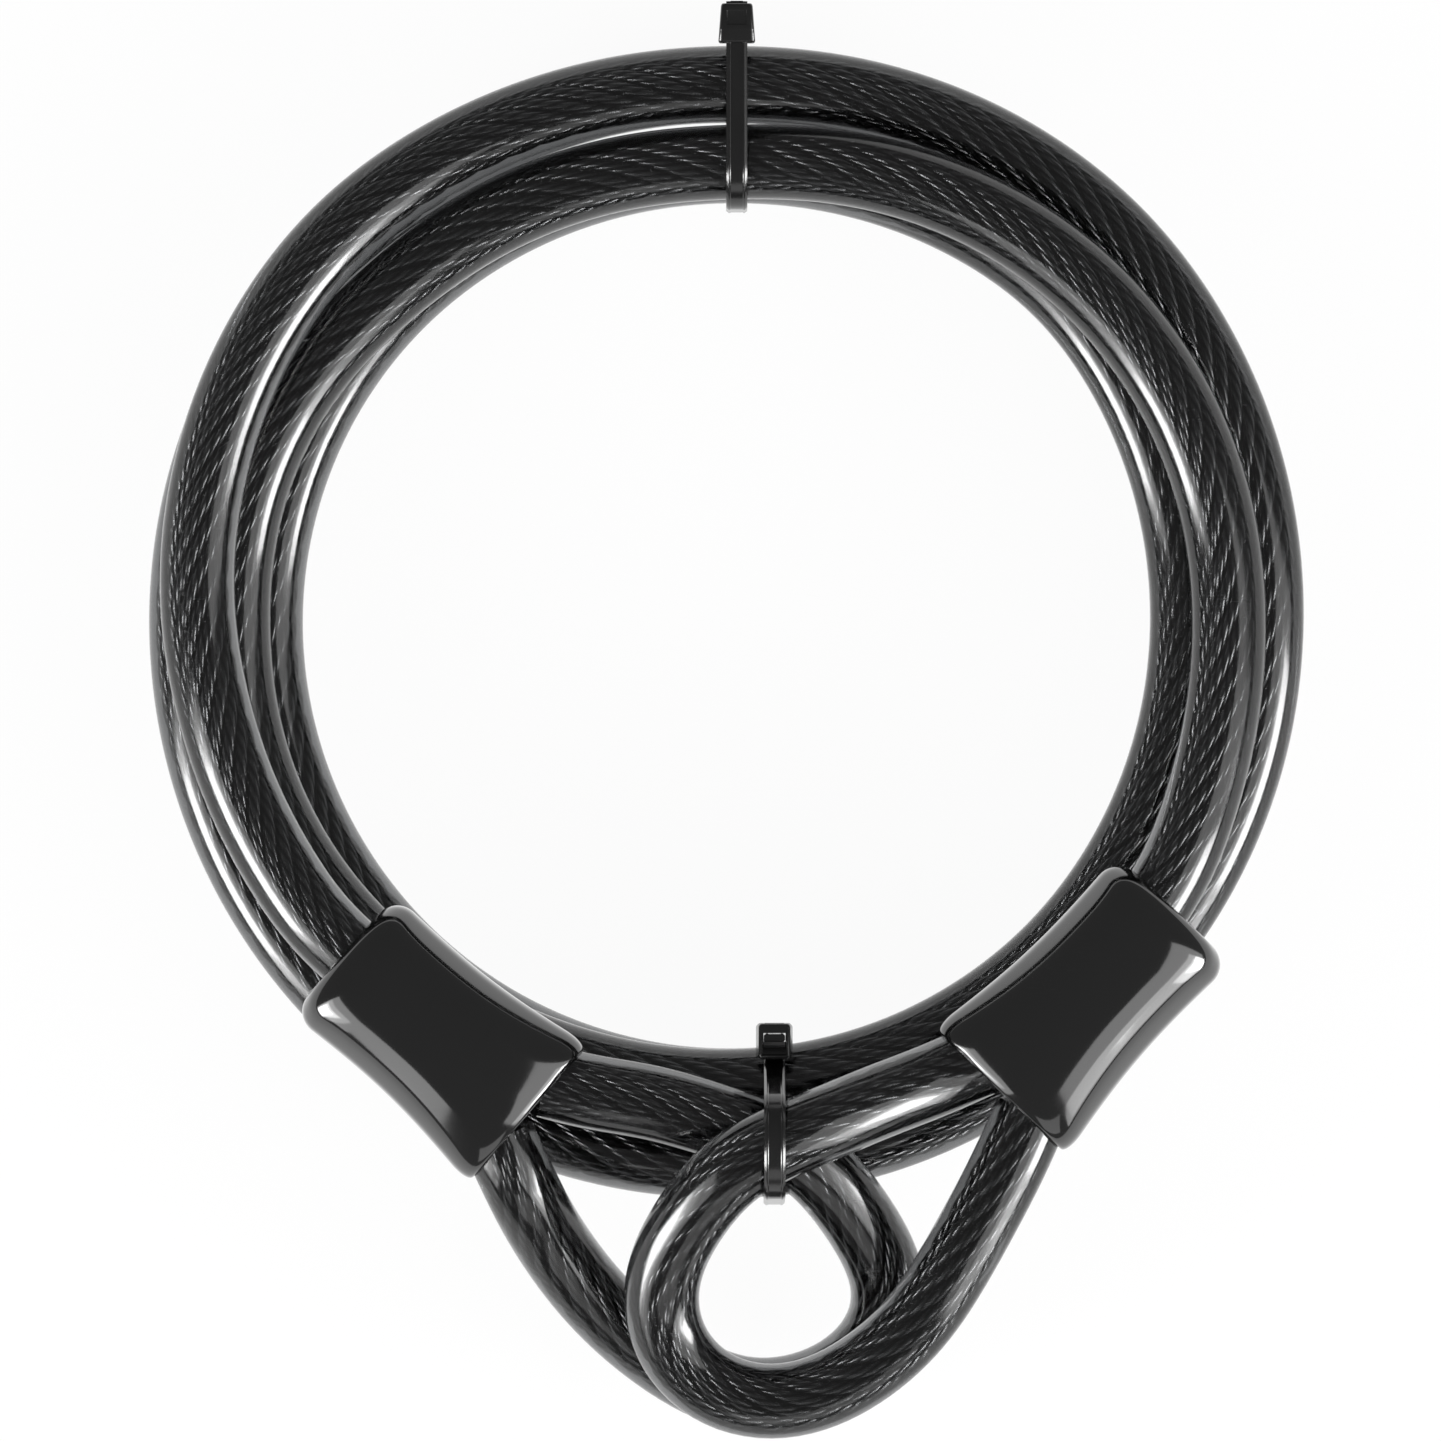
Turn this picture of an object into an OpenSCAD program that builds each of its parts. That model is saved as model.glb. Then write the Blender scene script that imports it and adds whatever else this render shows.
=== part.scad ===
// Looped-end cable: a steel wire rope in a smoked vinyl jacket, wound into a coil.
// Each end folds back into an eye that a crimped ferrule holds under a moulded cover.
// Two nylon ties hold the coil. All sizes are in millimetres.

/* [Cable] */
// Outer diameter of the vinyl jacket
jacket_d = 12; // [11:0.1:12]
// Diameter of the steel wire rope
rope_d = 6.4; // [5:0.1:7.7]
// Gap between the wire rope and its jacket
rope_play = 0.2; // [0.1:0.05:0.6]

/* [Ferrules] */
// Length of a crimped ferrule
ferrule_len = 18; // [14:0.5:20]
// Web between the two rope bores of a ferrule
ferrule_web = 0.6; // [0.4:0.1:1.2]
// Wall of a ferrule round its rope bores
ferrule_wall = 1.8; // [1.2:0.1:2]
// Depth of the dents that the crimping jaws leave
crimp_depth = 0.5; // [0:0.1:0.8]

/* [Covers] */
// Length of the left cover
left_cover_len = 37.5; // [36:0.5:42]
// Length of the right cover
right_cover_len = 38.7; // [36:0.1:42]
// Width of a cover at the coil end
cover_coil_w = 24; // [23:0.5:27]
// Width of a cover at the eye end
cover_eye_w = 29.4; // [29.2:0.2:32]
// Thickness of a cover
cover_t = 16; // [15:0.5:17]
// How far each side of a cover draws in at its waist
cover_waist = 1.3; // [0:0.1:2]
// Rounding of a cover's lip at the coil end
coil_lip_r = 1.8; // [1:0.1:2.4]
// Rounding of a cover's lip at the eye end
eye_lip_r = 1.2; // [0.6:0.1:1.3]
// Running gap between a cover and the jackets in it
cover_fit = 0.15; // [0.1:0.05:0.3]

/* [Ties] */
// Width of a tie strap
strap_w = 3.4; // [2.6:0.1:4]
// Thickness of a tie strap
strap_t = 1.2; // [0.9:0.05:1.2]
// Width of a tie head
head_w = 5.9; // [5.6:0.1:7]
// Length of a tie head along its slot
head_len = 6.2; // [5.6:0.1:7]
// Depth of a tie head on the side of its pawl
head_back = 2.9; // [2.7:0.1:3]
// Depth of a tie head on the other side of the strap's inner face
head_front = 2.8; // [2.3:0.1:3.2]
// Length of the cut strap that stands out of a head
strap_stub = 0.4; // [0.2:0.1:3]
// Gap between a strap and the slot that it runs in
slot_gap = 0.25; // [0.15:0.05:0.3]
// Thickness of a pawl
pawl_t = 0.9; // [0.7:0.1:1]
// Length of a pawl
pawl_len = 3.4; // [2.8:0.1:3.8]

/* [Hidden] */
$fn = 48;

// The coil's centre, in the part's frame
coil_at = [0.45, 15.42, 0];

// Tubes: bore, sides of each ring, and the vertical flat that the coil rests on
jacket_bore_d = rope_d + 2 * rope_play;
tube_sides = 8;
rest_cut = jacket_d / 10;
floor_z = jacket_d / 2 - rest_cut;

// Route of the coil. A station every 22.5 degrees, clockwise from the left cover,
// holds the lane's radius and its height above the floor lane.
station_step = 22.5;
ring_step = 15;
first_angle = 202.5;
stations = [
    [81.9, 24.6], [84.5, 23.2], [86.7, 22.0], [88.0, 17.7], [87.0, 15.0], [86.4, 12.7],
    [87.5, 12.8], [88.1, 11.6], [87.2, 11.0], [86.4, 10.9], [86.0, 9.0], [85.5, 7.2],
    [86.0, 5.3], [86.4, 4.4], [86.9, 2.6], [87.1, 1.0], [87.2, 0],
    [87.3, 0], [87.4, 0], [87.1, 0], [86.8, 0], [86.5, 0], [85.6, 0], [83.0, 0], [81.0, 0],
    [80.0, 0], [77.0, 0], [75.0, 0], [74.5, 0], [74.4, 0], [74.4, 0], [74.4, 0], [74.4, 0],
    [74.5, 0], [74.5, 0], [74.3, 0], [73.8, 0], [73.6, 0], [74.4, 6.8], [75.6, 10.2], [74.4, 10.7],
    [73.7, 10.9], [73.6, 12.1], [74.0, 12.6], [74.1, 12.6], [74.2, 12.6], [75.0, 12.6], [77.0, 12.5],
    [79.0, 11.8],
    [79.3, 11.7], [79.2, 11.7], [76.0, 12.6], [74.6, 12.7], [73.7, 13.0], [76.2, 19.5], [78.6, 22.4],
    [80.0, 22.2], [80.0, 22.4], [80.6, 25.6]];
last_angle = first_angle - station_step * (len(stations) - 1);

// Where the lanes rise over a tie's strap: [angle, rise]
strap_rises = [[90, strap_t + 2.1], [277.5, strap_t + 2.5]];
rise_reach = 26;

// Covers: [middle of the mouth at the coil end, heading, side of the coil's inside,
//          shift and tilt of the cable in that mouth, length, splay of the eye's legs]
left_mount = [[-60.3, -53.8, 32], -40.8, 1, 1, 0, left_cover_len, 24];
right_mount = [[70.1, -46.7, 33], -133.7, -1, 3, 10, right_cover_len, 21];

// What lies where along a cover, measured from the coil end
coil_depth = 5;
leg_depth = 1.2;
pocket_web = 1.5;
leg_offset = 5.9;
end_run = jacket_d;
straight_past = 1;
ferrule_past = 0.5;

// Routes of the two eyes, from the inner leg to the outer one, about the coil's centre
left_eye = [
    [-12.5, -76.2, 31.6], [-3.4, -79.2, 31.3], [5.1, -81.7, 31],
    [13.3, -86.2, 28], [21.1, -96, 22.5], [25.8, -106.1, 17.5], [23.5, -115.4, 13.8],
    [14.7, -122.2, 12.2], [2.7, -124, 12], [-6.1, -120.5, 12.5], [-14.7, -114.6, 14.5],
    [-22.9, -106.4, 18.5], [-29.8, -96.3, 24.5]];
right_eye = [
    [24.3, -76, 38.2], [11.5, -81.4, 43.6], [2.1, -85.6, 43.6],
    [-4, -92.2, 40], [-9, -100.2, 35], [-10.6, -106.9, 31.2], [-9.8, -113.3, 28.5],
    [-5.8, -119.7, 27], [0.3, -123.2, 26.5], [7.5, -124.5, 26], [17.1, -121.9, 27],
    [26.2, -115.5, 28.8], [31.2, -110.1, 30], [35.7, -103, 31], [39.5, -96.3, 32]];
eye_steps = 2;

// Ferrule and cover fits
bore_play = 0.1;
rope_bore_r = rope_d / 2 + bore_play;
rope_pitch = 2 * rope_bore_r + ferrule_web;
ferrule_r = rope_bore_r + ferrule_wall;
pocket_gap = 0.3;
leg_bore_back = 4;
crimp_r = 4;
crimp_count = 3;
section_power = 2.8;
section_sides = 32;
section_steps = 12;

// Ties: [place across the coil, +1 for the top of the ring or -1 for the bottom]
top_plane = [1.4, 1];
bottom_plane = [7.4, -1];
cable_gap = 0.2;
head_gap = 0.3;
root_depth = 0.3;
root_foot = 0.6;
arc_step = 10;

// Pawl: where its living hinge lies from the head's entry and the strap's inner face
pawl_hinge_u = 1.5;
pawl_clear = 0.15;
pawl_side_gap = 0.2;
pawl_room = 2.3;
pawl_root_gap = 0.12;
pawl_tooth = 0.25;

// ---- Curves ----

function unit(v) = v / norm(v);

function heading(a) = [cos(a), sin(a), 0];

// A smooth cubic through b and c, at t from 0 to 1, with a and d as their neighbours
function cubic(a, b, c, d, t) =
    0.5 * (2 * b + (c - a) * t + (2 * a - 5 * b + 4 * c - d) * t * t
           + (3 * b - a - 3 * c + d) * t * t * t);

function held(list, k) = list[min(max(k, 0), len(list) - 1)];

// Points of a smooth curve through all the given points, with some steps in each span
function smooth(points, steps) = [
    for (k = [0 : len(points) - 2], s = [0 : steps - 1])
        cubic(held(points, k - 1), points[k], points[k + 1], held(points, k + 2), s / steps),
    points[len(points) - 1]];

function reverse(list) = [for (k = [len(list) - 1 : -1 : 0]) list[k]];

// ---- Route of the coil ----

function away(a, b) = abs((((a - b) % 360) + 540) % 360 - 180);

function rise_near(a, spot) =
    let (off = away(a, spot[0]))
    off < rise_reach ? spot[1] * (1 + cos(180 * off / rise_reach)) / 2 : 0;

function lane(a) =
    let (f = (first_angle - a) / station_step, k = min(floor(f), len(stations) - 2))
    cubic(held(stations, k - 1), stations[k], stations[k + 1], held(stations, k + 2), f - k);

function coil_point(a) =
    let (l = lane(a))
    [l[0] * cos(a), l[0] * sin(a),
     floor_z + l[1] + rise_near(a, strap_rises[0]) + rise_near(a, strap_rises[1])];

ring_angles = concat(
    [first_angle],
    [for (a = [first_angle - ring_step / 2 : -ring_step : last_angle + ring_step / 4]) a],
    [last_angle]);
coil_rings = [for (a = ring_angles) coil_point(a)];

// ---- Places in a cover ----

function cover_point(m, along, across) =
    m[0] + along * heading(m[1]) + across * m[2] * heading(m[1] + 90);

function cover_end(m) = m[5];

// The pocket ends a web short of the legs, and the ferrule lies halfway along it
function pocket_end(m) = cover_end(m) - leg_depth - pocket_web;

function ferrule_start(m) = (coil_depth + pocket_end(m) - ferrule_len) / 2;

// Where the cable passes a given distance from the mouth, along its own tilted line
function coil_entry(m, along) =
    cover_point(m, 0, m[3]) + along * heading(m[1] + m[4]);

// A point along one leg of the eye: side 1 is the leg at the coil's inside
function leg_heading(m, side) = heading(m[1] + side * m[2] * m[6]);

function leg_point(m, side, along) =
    cover_point(m, cover_end(m) - leg_depth, side * leg_offset) + along * leg_heading(m, side);

// ---- Routes of the jackets and the rope ----

function end_run_in(m) = [coil_entry(m, coil_depth), coil_entry(m, coil_depth - end_run)];

// The last span, from the coil's end ring to the straight run, takes one ring in its middle
function bridge(before, ring, run) = cubic(before, ring, run[1], run[0], 0.5);

left_run = end_run_in(left_mount);
right_run = end_run_in(right_mount);
last = len(coil_rings) - 1;
coil_route = concat(
    left_run,
    [bridge(coil_rings[1], coil_rings[0], left_run)],
    coil_rings,
    [bridge(coil_rings[last - 1], coil_rings[last], right_run)],
    reverse(right_run));

function eye_route(m, points) = concat(
    [leg_point(m, 1, 0)],
    smooth(concat([leg_point(m, 1, end_run * 0.6)], points, [leg_point(m, -1, end_run * 0.6)]), eye_steps),
    [leg_point(m, -1, 0)]);

left_eye_route = eye_route(left_mount, left_eye);
right_eye_route = eye_route(right_mount, right_eye);

// The bare rope on one side of a cover: through the ferrule, from the coil end to the eye end,
// then in line with the leg that it enters
function bare_rope(m, side) = [
    cover_point(m, ferrule_start(m) - ferrule_past, side * rope_pitch / 2),
    cover_point(m, ferrule_start(m) + ferrule_len + ferrule_past, side * rope_pitch / 2),
    leg_point(m, side, -straight_past)];

rope_route = concat(
    bare_rope(left_mount, -1),
    reverse(left_eye_route),
    reverse(bare_rope(left_mount, 1)),
    [coil_entry(left_mount, coil_depth + straight_past)],
    coil_route,
    [coil_entry(right_mount, coil_depth + straight_past)],
    bare_rope(right_mount, 1),
    right_eye_route,
    reverse(bare_rope(right_mount, -1)));

// ---- Least gaps, measured on the routes' points and on the middles between them ----

function dense(route) = [
    for (k = [0 : len(route) - 2], s = [0, 1]) route[k] + (route[k + 1] - route[k]) * s / 2];

function least_self(route, skip) = min([
    for (i = [0 : len(route) - 1 - skip]) for (j = [i + skip : len(route) - 1]) norm(route[i] - route[j])]);

function least_between(a, b) = min([for (p = a) for (q = b) norm(p - q)]);

coil_dense = dense(coil_route);
left_dense = dense(left_eye_route);
right_dense = dense(right_eye_route);
echo(coil_gap_to_itself = least_self(coil_dense, 30) - jacket_d);
echo(left_eye_gap_to_coil = least_between(left_dense, coil_dense) - jacket_d);
echo(right_eye_gap_to_coil = least_between(right_dense, coil_dense) - jacket_d);
echo(gap_between_the_eyes = least_between(left_dense, right_dense) - jacket_d);

// ---- Tubes ----

function ahead(route, k) = unit(held(route, k + 1) - held(route, k - 1));

// One ring round a route's point, never below the surface that the coil rests on
function ring(route, k, r) =
    let (t = ahead(route, k), across = unit(cross(t, [0, 0, 1])), up = cross(across, t))
    [for (s = [0 : tube_sides - 1])
        let (a = (s + 0.5) * 360 / tube_sides,
             p = route[k] + r * (cos(a) * across + sin(a) * up))
        [p[0], p[1], max(p[2], 0)]];

function rings(route, r) = [for (k = [0 : len(route) - 1]) each ring(route, k, r)];

// The two triangles of each facet between neighbouring rings, from a first point on
function skin(count, from) = [
    for (k = [0 : count - 2], s = [0 : tube_sides - 1])
        let (a = from + k * tube_sides + s,
             b = from + k * tube_sides + (s + 1) % tube_sides,
             c = b + tube_sides,
             d = a + tube_sides)
        each [[a, b, c], [a, c, d]]];

function flipped(faces) = [for (f = faces) reverse(f)];

// A flat end: a fan over one ring
function fan(from) = [for (s = [1 : tube_sides - 2]) [from, from + s + 1, from + s]];

// A flat end of a hollow tube: facets between an outer and an inner ring
function washer(outer, inner) = [
    for (s = [0 : tube_sides - 1])
        let (n = (s + 1) % tube_sides)
        each [[outer + s, inner + s, inner + n], [outer + s, inner + n, outer + n]]];

module rod(route, d) {
    count = len(route);
    polyhedron(
        points = rings(route, d / 2),
        faces = concat(skin(count, 0), fan(0), flipped(fan((count - 1) * tube_sides))));
}

module hose(route, d, bore) {
    count = len(route);
    inner = count * tube_sides;
    end = (count - 1) * tube_sides;
    polyhedron(
        points = concat(rings(route, d / 2), rings(route, bore / 2)),
        faces = concat(
            skin(count, 0), flipped(skin(count, inner)),
            washer(0, inner), flipped(washer(end, inner + end))));
}

// ---- Ferrules ----

// Lays a shape drawn along +Z, with its width along X, onto a cover's own line
module on_cover(m, along) {
    translate(cover_point(m, along, 0))
        rotate([0, 0, m[1]])
            rotate([0, 90, 0])
                rotate([0, 0, 90])
                    children();
}

module oval_bar(r, length) {
    for (side = [-1, 1])
        translate([side * rope_pitch / 2, 0, 0])
            cylinder(r = r, h = length);
    translate([-rope_pitch / 2, -r, 0])
        cube([rope_pitch, 2 * r, length]);
}

module crimp_dents() {
    pitch = ferrule_len / crimp_count;
    for (k = [0 : crimp_count - 1])
        for (face = [-1, 1])
            translate([-rope_pitch, face * (ferrule_r + crimp_r - crimp_depth), (k + 0.5) * pitch])
                rotate([0, 90, 0])
                    cylinder(r = crimp_r, h = 2 * rope_pitch);
}

module ferrule(m) {
    on_cover(m, ferrule_start(m))
        difference() {
            oval_bar(ferrule_r, ferrule_len);
            for (side = [-1, 1])
                translate([side * rope_pitch / 2, 0, -1])
                    cylinder(r = rope_bore_r, h = ferrule_len + 2);
            crimp_dents();
        }
}

// ---- Covers ----

// How far a rounded lip draws the outline in, at a distance from the nearer end
function lip_inset(d, r) = d < r ? r - sqrt(r * r - (r - d) * (r - d)) : 0;

function cover_half_w(u) =
    cover_coil_w / 2 + (cover_eye_w - cover_coil_w) / 2 * u - cover_waist * sin(180 * u);

function power(x, p) = sign(x) * pow(abs(x), p);

// One cross-section, at a distance from the coil end
function section(m, s) =
    let (inset = lip_inset(s, coil_lip_r) + lip_inset(cover_end(m) - s, eye_lip_r),
         w = cover_half_w(s / cover_end(m)) - inset,
         h = cover_t / 2 - inset)
    [for (k = [0 : section_sides - 1])
        let (a = (k + 0.5) * 360 / section_sides)
        cover_point(m, s, w * power(cos(a), 2 / section_power))
        + [0, 0, h * power(sin(a), 2 / section_power)]];

lip_steps = [0, 0.1, 0.35, 1];

function section_places(length) = concat(
    [for (f = lip_steps) f * coil_lip_r],
    [for (k = [1 : section_steps - 1])
        coil_lip_r + (length - coil_lip_r - eye_lip_r) * k / section_steps],
    [for (f = reverse(lip_steps)) length - f * eye_lip_r]);

module cover_shell(m) {
    places = section_places(cover_end(m));
    count = len(places);
    n = section_sides;
    sides = [
        for (k = [0 : count - 2], s = [0 : n - 1])
            let (a = k * n + s, b = k * n + (s + 1) % n)
            each [[a, b, b + n], [a, b + n, a + n]]];
    caps = [
        for (s = [1 : n - 2])
            each [[0, s + 1, s], [(count - 1) * n, (count - 1) * n + s, (count - 1) * n + s + 1]]];
    faces = concat(sides, caps);
    polyhedron(
        points = [for (s = places) each section(m, s)],
        faces = m[2] > 0 ? flipped(faces) : faces);
}

// A round bore along a heading, from one point
module bore(from, direction, r, length) {
    translate(from)
        rotate([0, 0, direction])
            rotate([0, 90, 0])
                cylinder(r = r, h = length);
}

module cover(m) {
    fit_r = jacket_d / 2 + cover_fit;
    pocket_start = coil_depth - cover_fit - fit_r * sin(abs(m[4]));
    difference() {
        cover_shell(m);
        on_cover(m, pocket_start)
            oval_bar(ferrule_r + pocket_gap, pocket_end(m) - pocket_start);
        bore(coil_entry(m, coil_depth + cover_fit), m[1] + m[4] + 180, fit_r, end_run);
        for (side = [-1, 1])
            bore(leg_point(m, side, -leg_bore_back), m[1] + side * m[2] * m[6], fit_r, end_run);
    }
}

// ---- Ties ----

// Where a route passes through a tie's plane, in order: [distance from the coil's centre,
// height, radius that its slanted section needs]
function crossings(route, plane) = [
    for (k = [0 : len(route) - 2])
        let (a = route[k], b = route[k + 1], run = b - a, t = (plane[0] - a[0]) / run[0], p = a + t * run)
        if (t >= 0 && t < 1 && p[1] * plane[1] > 0)
            [p[1] * plane[1], p[2],
             (jacket_d * norm(run) + strap_w * norm([run[1], run[2]])) / 2 / abs(run[0]) + cable_gap]];

// Height at which a corner at some distance clears a cable
function clear_height(c, x) = c[1] + sqrt(c[2] * c[2] - (c[0] - x) * (c[0] - x)) + cable_gap;

// Strap paths as [distance from the coil's centre, height, radius], counter-clockwise.
// The first and last points are the ends of the strap.
top_lanes = crossings(coil_route, top_plane);
top_r = max([for (c = top_lanes) c[2]]);
top_outer = max([for (c = top_lanes) c[0]]);
top_inner = min([for (c = top_lanes) c[0]]);
top_high = max([for (c = top_lanes) c[1]]);
top_low = min([for (c = top_lanes) c[1]]);
top_slot_z = top_high + top_r;
top_head_at = top_outer + top_r - head_gap;
top_path = [
    [top_head_at + head_len + strap_stub, top_slot_z, 0], [top_inner, top_high, top_r],
    [top_inner, top_low, top_r], [top_outer, top_low, top_r],
    [top_outer + top_r, top_slot_z - head_back + root_depth, 0]];

bottom_lanes = crossings(coil_route, bottom_plane);
under_eye = crossings(right_eye_route, bottom_plane)[0];
outer_lane = bottom_lanes[0];
floor_lane = bottom_lanes[1];
high_lane = bottom_lanes[2];
bottom_inner = min(floor_lane[0] - floor_lane[2], high_lane[0] - high_lane[2]);
bottom_head_at = clear_height(high_lane, bottom_inner + head_back);
foot_x = bottom_inner + head_back + strap_t;
foot_z = clear_height(high_lane, foot_x);
bottom_path = [
    [bottom_inner, bottom_head_at + head_len + strap_stub, 0],
    [bottom_inner + floor_lane[2], floor_lane[1], floor_lane[2]],
    outer_lane, under_eye, [foot_x, foot_z + root_foot, 0]];

// Heading of the outward normal on the straight run from one belt circle to the next
function run_normal(a, b) =
    let (d = [b[0] - a[0], b[1] - a[1]])
    atan2(d[1], d[0]) - acos((a[2] - b[2]) / norm(d));

// An angle brought to within one turn above another
function after(a, b) = a < b - 0.001 ? after(a + 360, b) : a;

function belt_arc(c, from, to, grow) =
    let (steps = max(1, ceil((to - from) / arc_step)))
    [for (k = [0 : steps])
        let (a = from + (to - from) * k / steps)
        [c[0] + (c[2] + grow) * cos(a), c[1] + (c[2] + grow) * sin(a)]];

// One face of a strap: it runs straight between circles and bends round each
function belt(path, grow) = [
    for (k = [0 : len(path) - 1])
        let (from = k == 0 ? run_normal(path[0], path[1]) : run_normal(path[k - 1], path[k]),
             next = k == len(path) - 1 ? from : run_normal(path[k], path[k + 1]),
             to = after(next, from))
        each k == 0 || k == len(path) - 1 || to - from < 0.01
            ? [belt_arc(path[k], from, from, grow)[0]]
            : belt_arc(path[k], from, to, grow)];

// Stands a drawing of distance and height upright at a tie's place
module in_plane(plane) {
    translate([plane[0], 0, 0])
        rotate([0, 0, plane[1] * 90])
            rotate([90, 0, 0])
                children();
}

module strap(path) {
    translate([0, 0, -strap_w / 2])
        linear_extrude(strap_w)
            polygon(concat(belt(path, 0), reverse(belt(path, strap_t))));
}

// Foot of the bottom tie's strap, where it turns up from the side of the head
module strap_foot() {
    translate([foot_x - strap_t - root_depth, foot_z, -strap_w / 2])
        cube([strap_t + root_depth, strap_t + root_foot, strap_w]);
}

// Head, drawn with the slot along +X from x = 0 and the strap's inner face at y = 0
module head() {
    slot_w = strap_w + 2 * slot_gap;
    difference() {
        translate([0, -head_back, -head_w / 2])
            cube([head_len, head_back + head_front, head_w]);
        translate([-1, -slot_gap, -slot_w / 2])
            cube([head_len + 2, strap_t + 2 * slot_gap, slot_w]);
        translate([pawl_hinge_u - pawl_root_gap, -pawl_room, -slot_w / 2])
            cube([head_len, pawl_room, slot_w]);
    }
}

// Pawl: a wedge that thins towards its tip, with two teeth beside the strap
module pawl() {
    w = strap_w + 2 * slot_gap - 2 * pawl_side_gap;
    face = -pawl_clear;
    root = face - slot_gap;
    translate([pawl_hinge_u, 0, -w / 2])
        linear_extrude(w)
            polygon([
                [0, root - pawl_t], [pawl_len * 0.85, face - pawl_t], [pawl_len, face - pawl_t * 0.6],
                [pawl_len, face], [pawl_len * 0.8, face - pawl_tooth], [pawl_len * 0.75, face],
                [pawl_len * 0.55, face - pawl_tooth], [pawl_len * 0.5, root], [0, root]]);
}

// Places a head's drawing on the top tie, where the slot points outward
module at_top_head() {
    in_plane(top_plane)
        translate([top_head_at, top_slot_z, 0])
            children();
}

// Places it on the bottom tie, where the slot points up at the coil's inside
module at_bottom_head() {
    in_plane(bottom_plane)
        translate([bottom_inner, bottom_head_at, 0])
            rotate([0, 0, 90])
                children();
}

// ---- The pieces ----

module coil_jacket() {
    color([0.05, 0.05, 0.06])
        translate(coil_at)
            hose(coil_route, jacket_d, jacket_bore_d);
}

module left_eye_jacket() {
    color([0.06, 0.06, 0.07])
        translate(coil_at)
            hose(left_eye_route, jacket_d, jacket_bore_d);
}

module right_eye_jacket() {
    color([0.07, 0.07, 0.08])
        translate(coil_at)
            hose(right_eye_route, jacket_d, jacket_bore_d);
}

module wire_rope() {
    color([0.55, 0.56, 0.58])
        translate(coil_at)
            rod(rope_route, rope_d);
}

module left_ferrule() {
    color([0.7, 0.71, 0.73])
        translate(coil_at)
            ferrule(left_mount);
}

module right_ferrule() {
    color([0.7, 0.71, 0.73])
        translate(coil_at)
            ferrule(right_mount);
}

module left_cover() {
    color([0.02, 0.02, 0.02])
        translate(coil_at)
            cover(left_mount);
}

module right_cover() {
    color([0.02, 0.02, 0.02])
        translate(coil_at)
            cover(right_mount);
}

module top_tie() {
    color([0.08, 0.08, 0.08])
        translate(coil_at) {
            in_plane(top_plane)
                strap(top_path);
            at_top_head()
                head();
        }
}

module bottom_tie() {
    color([0.08, 0.08, 0.08])
        translate(coil_at) {
            in_plane(bottom_plane) {
                strap(bottom_path);
                strap_foot();
            }
            at_bottom_head()
                head();
        }
}

module top_tie_pawl() {
    color([0.12, 0.12, 0.12])
        translate(coil_at)
            at_top_head()
                pawl();
}

module bottom_tie_pawl() {
    color([0.12, 0.12, 0.12])
        translate(coil_at)
            at_bottom_head()
                pawl();
}

coil_jacket();
left_eye_jacket();
right_eye_jacket();
wire_rope();
left_ferrule();
right_ferrule();
left_cover();
right_cover();
top_tie();
bottom_tie();
top_tie_pawl();
bottom_tie_pawl();
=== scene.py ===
"""Looks of a coiled steel security cable.

A wire rope in a smoked vinyl sheath is wound into a coil. Each end folds back into an eye that a
moulded cover holds shut over a crimped ferrule, and two nylon ties hold the coil. Every size is in
metres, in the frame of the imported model.
"""

import logging
import math
from dataclasses import dataclass, field
from enum import Enum
from typing import Any, Iterable, Sequence

import bmesh
import bpy
import numpy as np
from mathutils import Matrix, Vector


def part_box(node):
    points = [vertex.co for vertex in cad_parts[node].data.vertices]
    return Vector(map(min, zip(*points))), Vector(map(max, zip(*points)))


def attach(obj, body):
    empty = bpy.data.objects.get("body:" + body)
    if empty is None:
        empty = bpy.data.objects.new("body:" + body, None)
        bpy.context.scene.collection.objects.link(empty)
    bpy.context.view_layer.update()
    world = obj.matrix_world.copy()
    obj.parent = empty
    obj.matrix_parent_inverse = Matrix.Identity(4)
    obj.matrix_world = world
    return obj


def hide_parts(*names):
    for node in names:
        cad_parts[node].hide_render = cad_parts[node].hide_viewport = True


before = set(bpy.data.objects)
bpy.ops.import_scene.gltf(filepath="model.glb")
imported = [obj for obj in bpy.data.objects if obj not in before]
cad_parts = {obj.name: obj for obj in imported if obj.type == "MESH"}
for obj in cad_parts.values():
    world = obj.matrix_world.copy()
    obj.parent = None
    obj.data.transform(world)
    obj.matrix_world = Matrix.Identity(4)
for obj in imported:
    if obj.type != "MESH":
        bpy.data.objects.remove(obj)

LOG = logging.getLogger("cable")
MM = 0.001
FULL_TURN = 2 * math.pi
# How many of its reaches a bell-shaped average takes in
BELL_REACHES = 3
# Degrees: how far two headings may differ and count as one, and the least bend of a strap
ANGLE_SLACK = 0.001
LEAST_BEND = 0.01
# The broken edges of a cut body: their steps, and the sharpest angle that is left as it is
EDGE_SEGMENTS = 3
EDGE_ANGLE = 50.0
RIGHT, AWAY, UP = np.eye(3)

Points = np.ndarray
Pair = tuple[float, float]
Triple = tuple[float, float, float]
Colour = tuple[float, float, float, float]
Tree = bpy.types.NodeTree
Node = bpy.types.Node
Socket = bpy.types.NodeSocket
Mesh = bpy.types.Mesh
Piece = bpy.types.Object
Material = bpy.types.Material


# -------- Curves --------


def heading(degrees: float) -> Points:
    """The level unit vector at an angle from +X."""
    return np.array([math.cos(math.radians(degrees)), math.sin(math.radians(degrees)), 0.0])


def cubic(a: Points, b: Points, c: Points, d: Points, t: float) -> Points:
    """A point of the uniform cubic through b and c.

    Args:
        a: The point before b.
        b: Where the span starts.
        c: Where the span ends.
        d: The point after c.
        t: The place in the span, from 0 to 1.

    Returns:
        The point.
    """
    return 0.5 * (
        2 * b
        + (c - a) * t
        + (2 * a - 5 * b + 4 * c - d) * t**2
        + (3 * b - a - 3 * c + d) * t**3
    )


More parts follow.
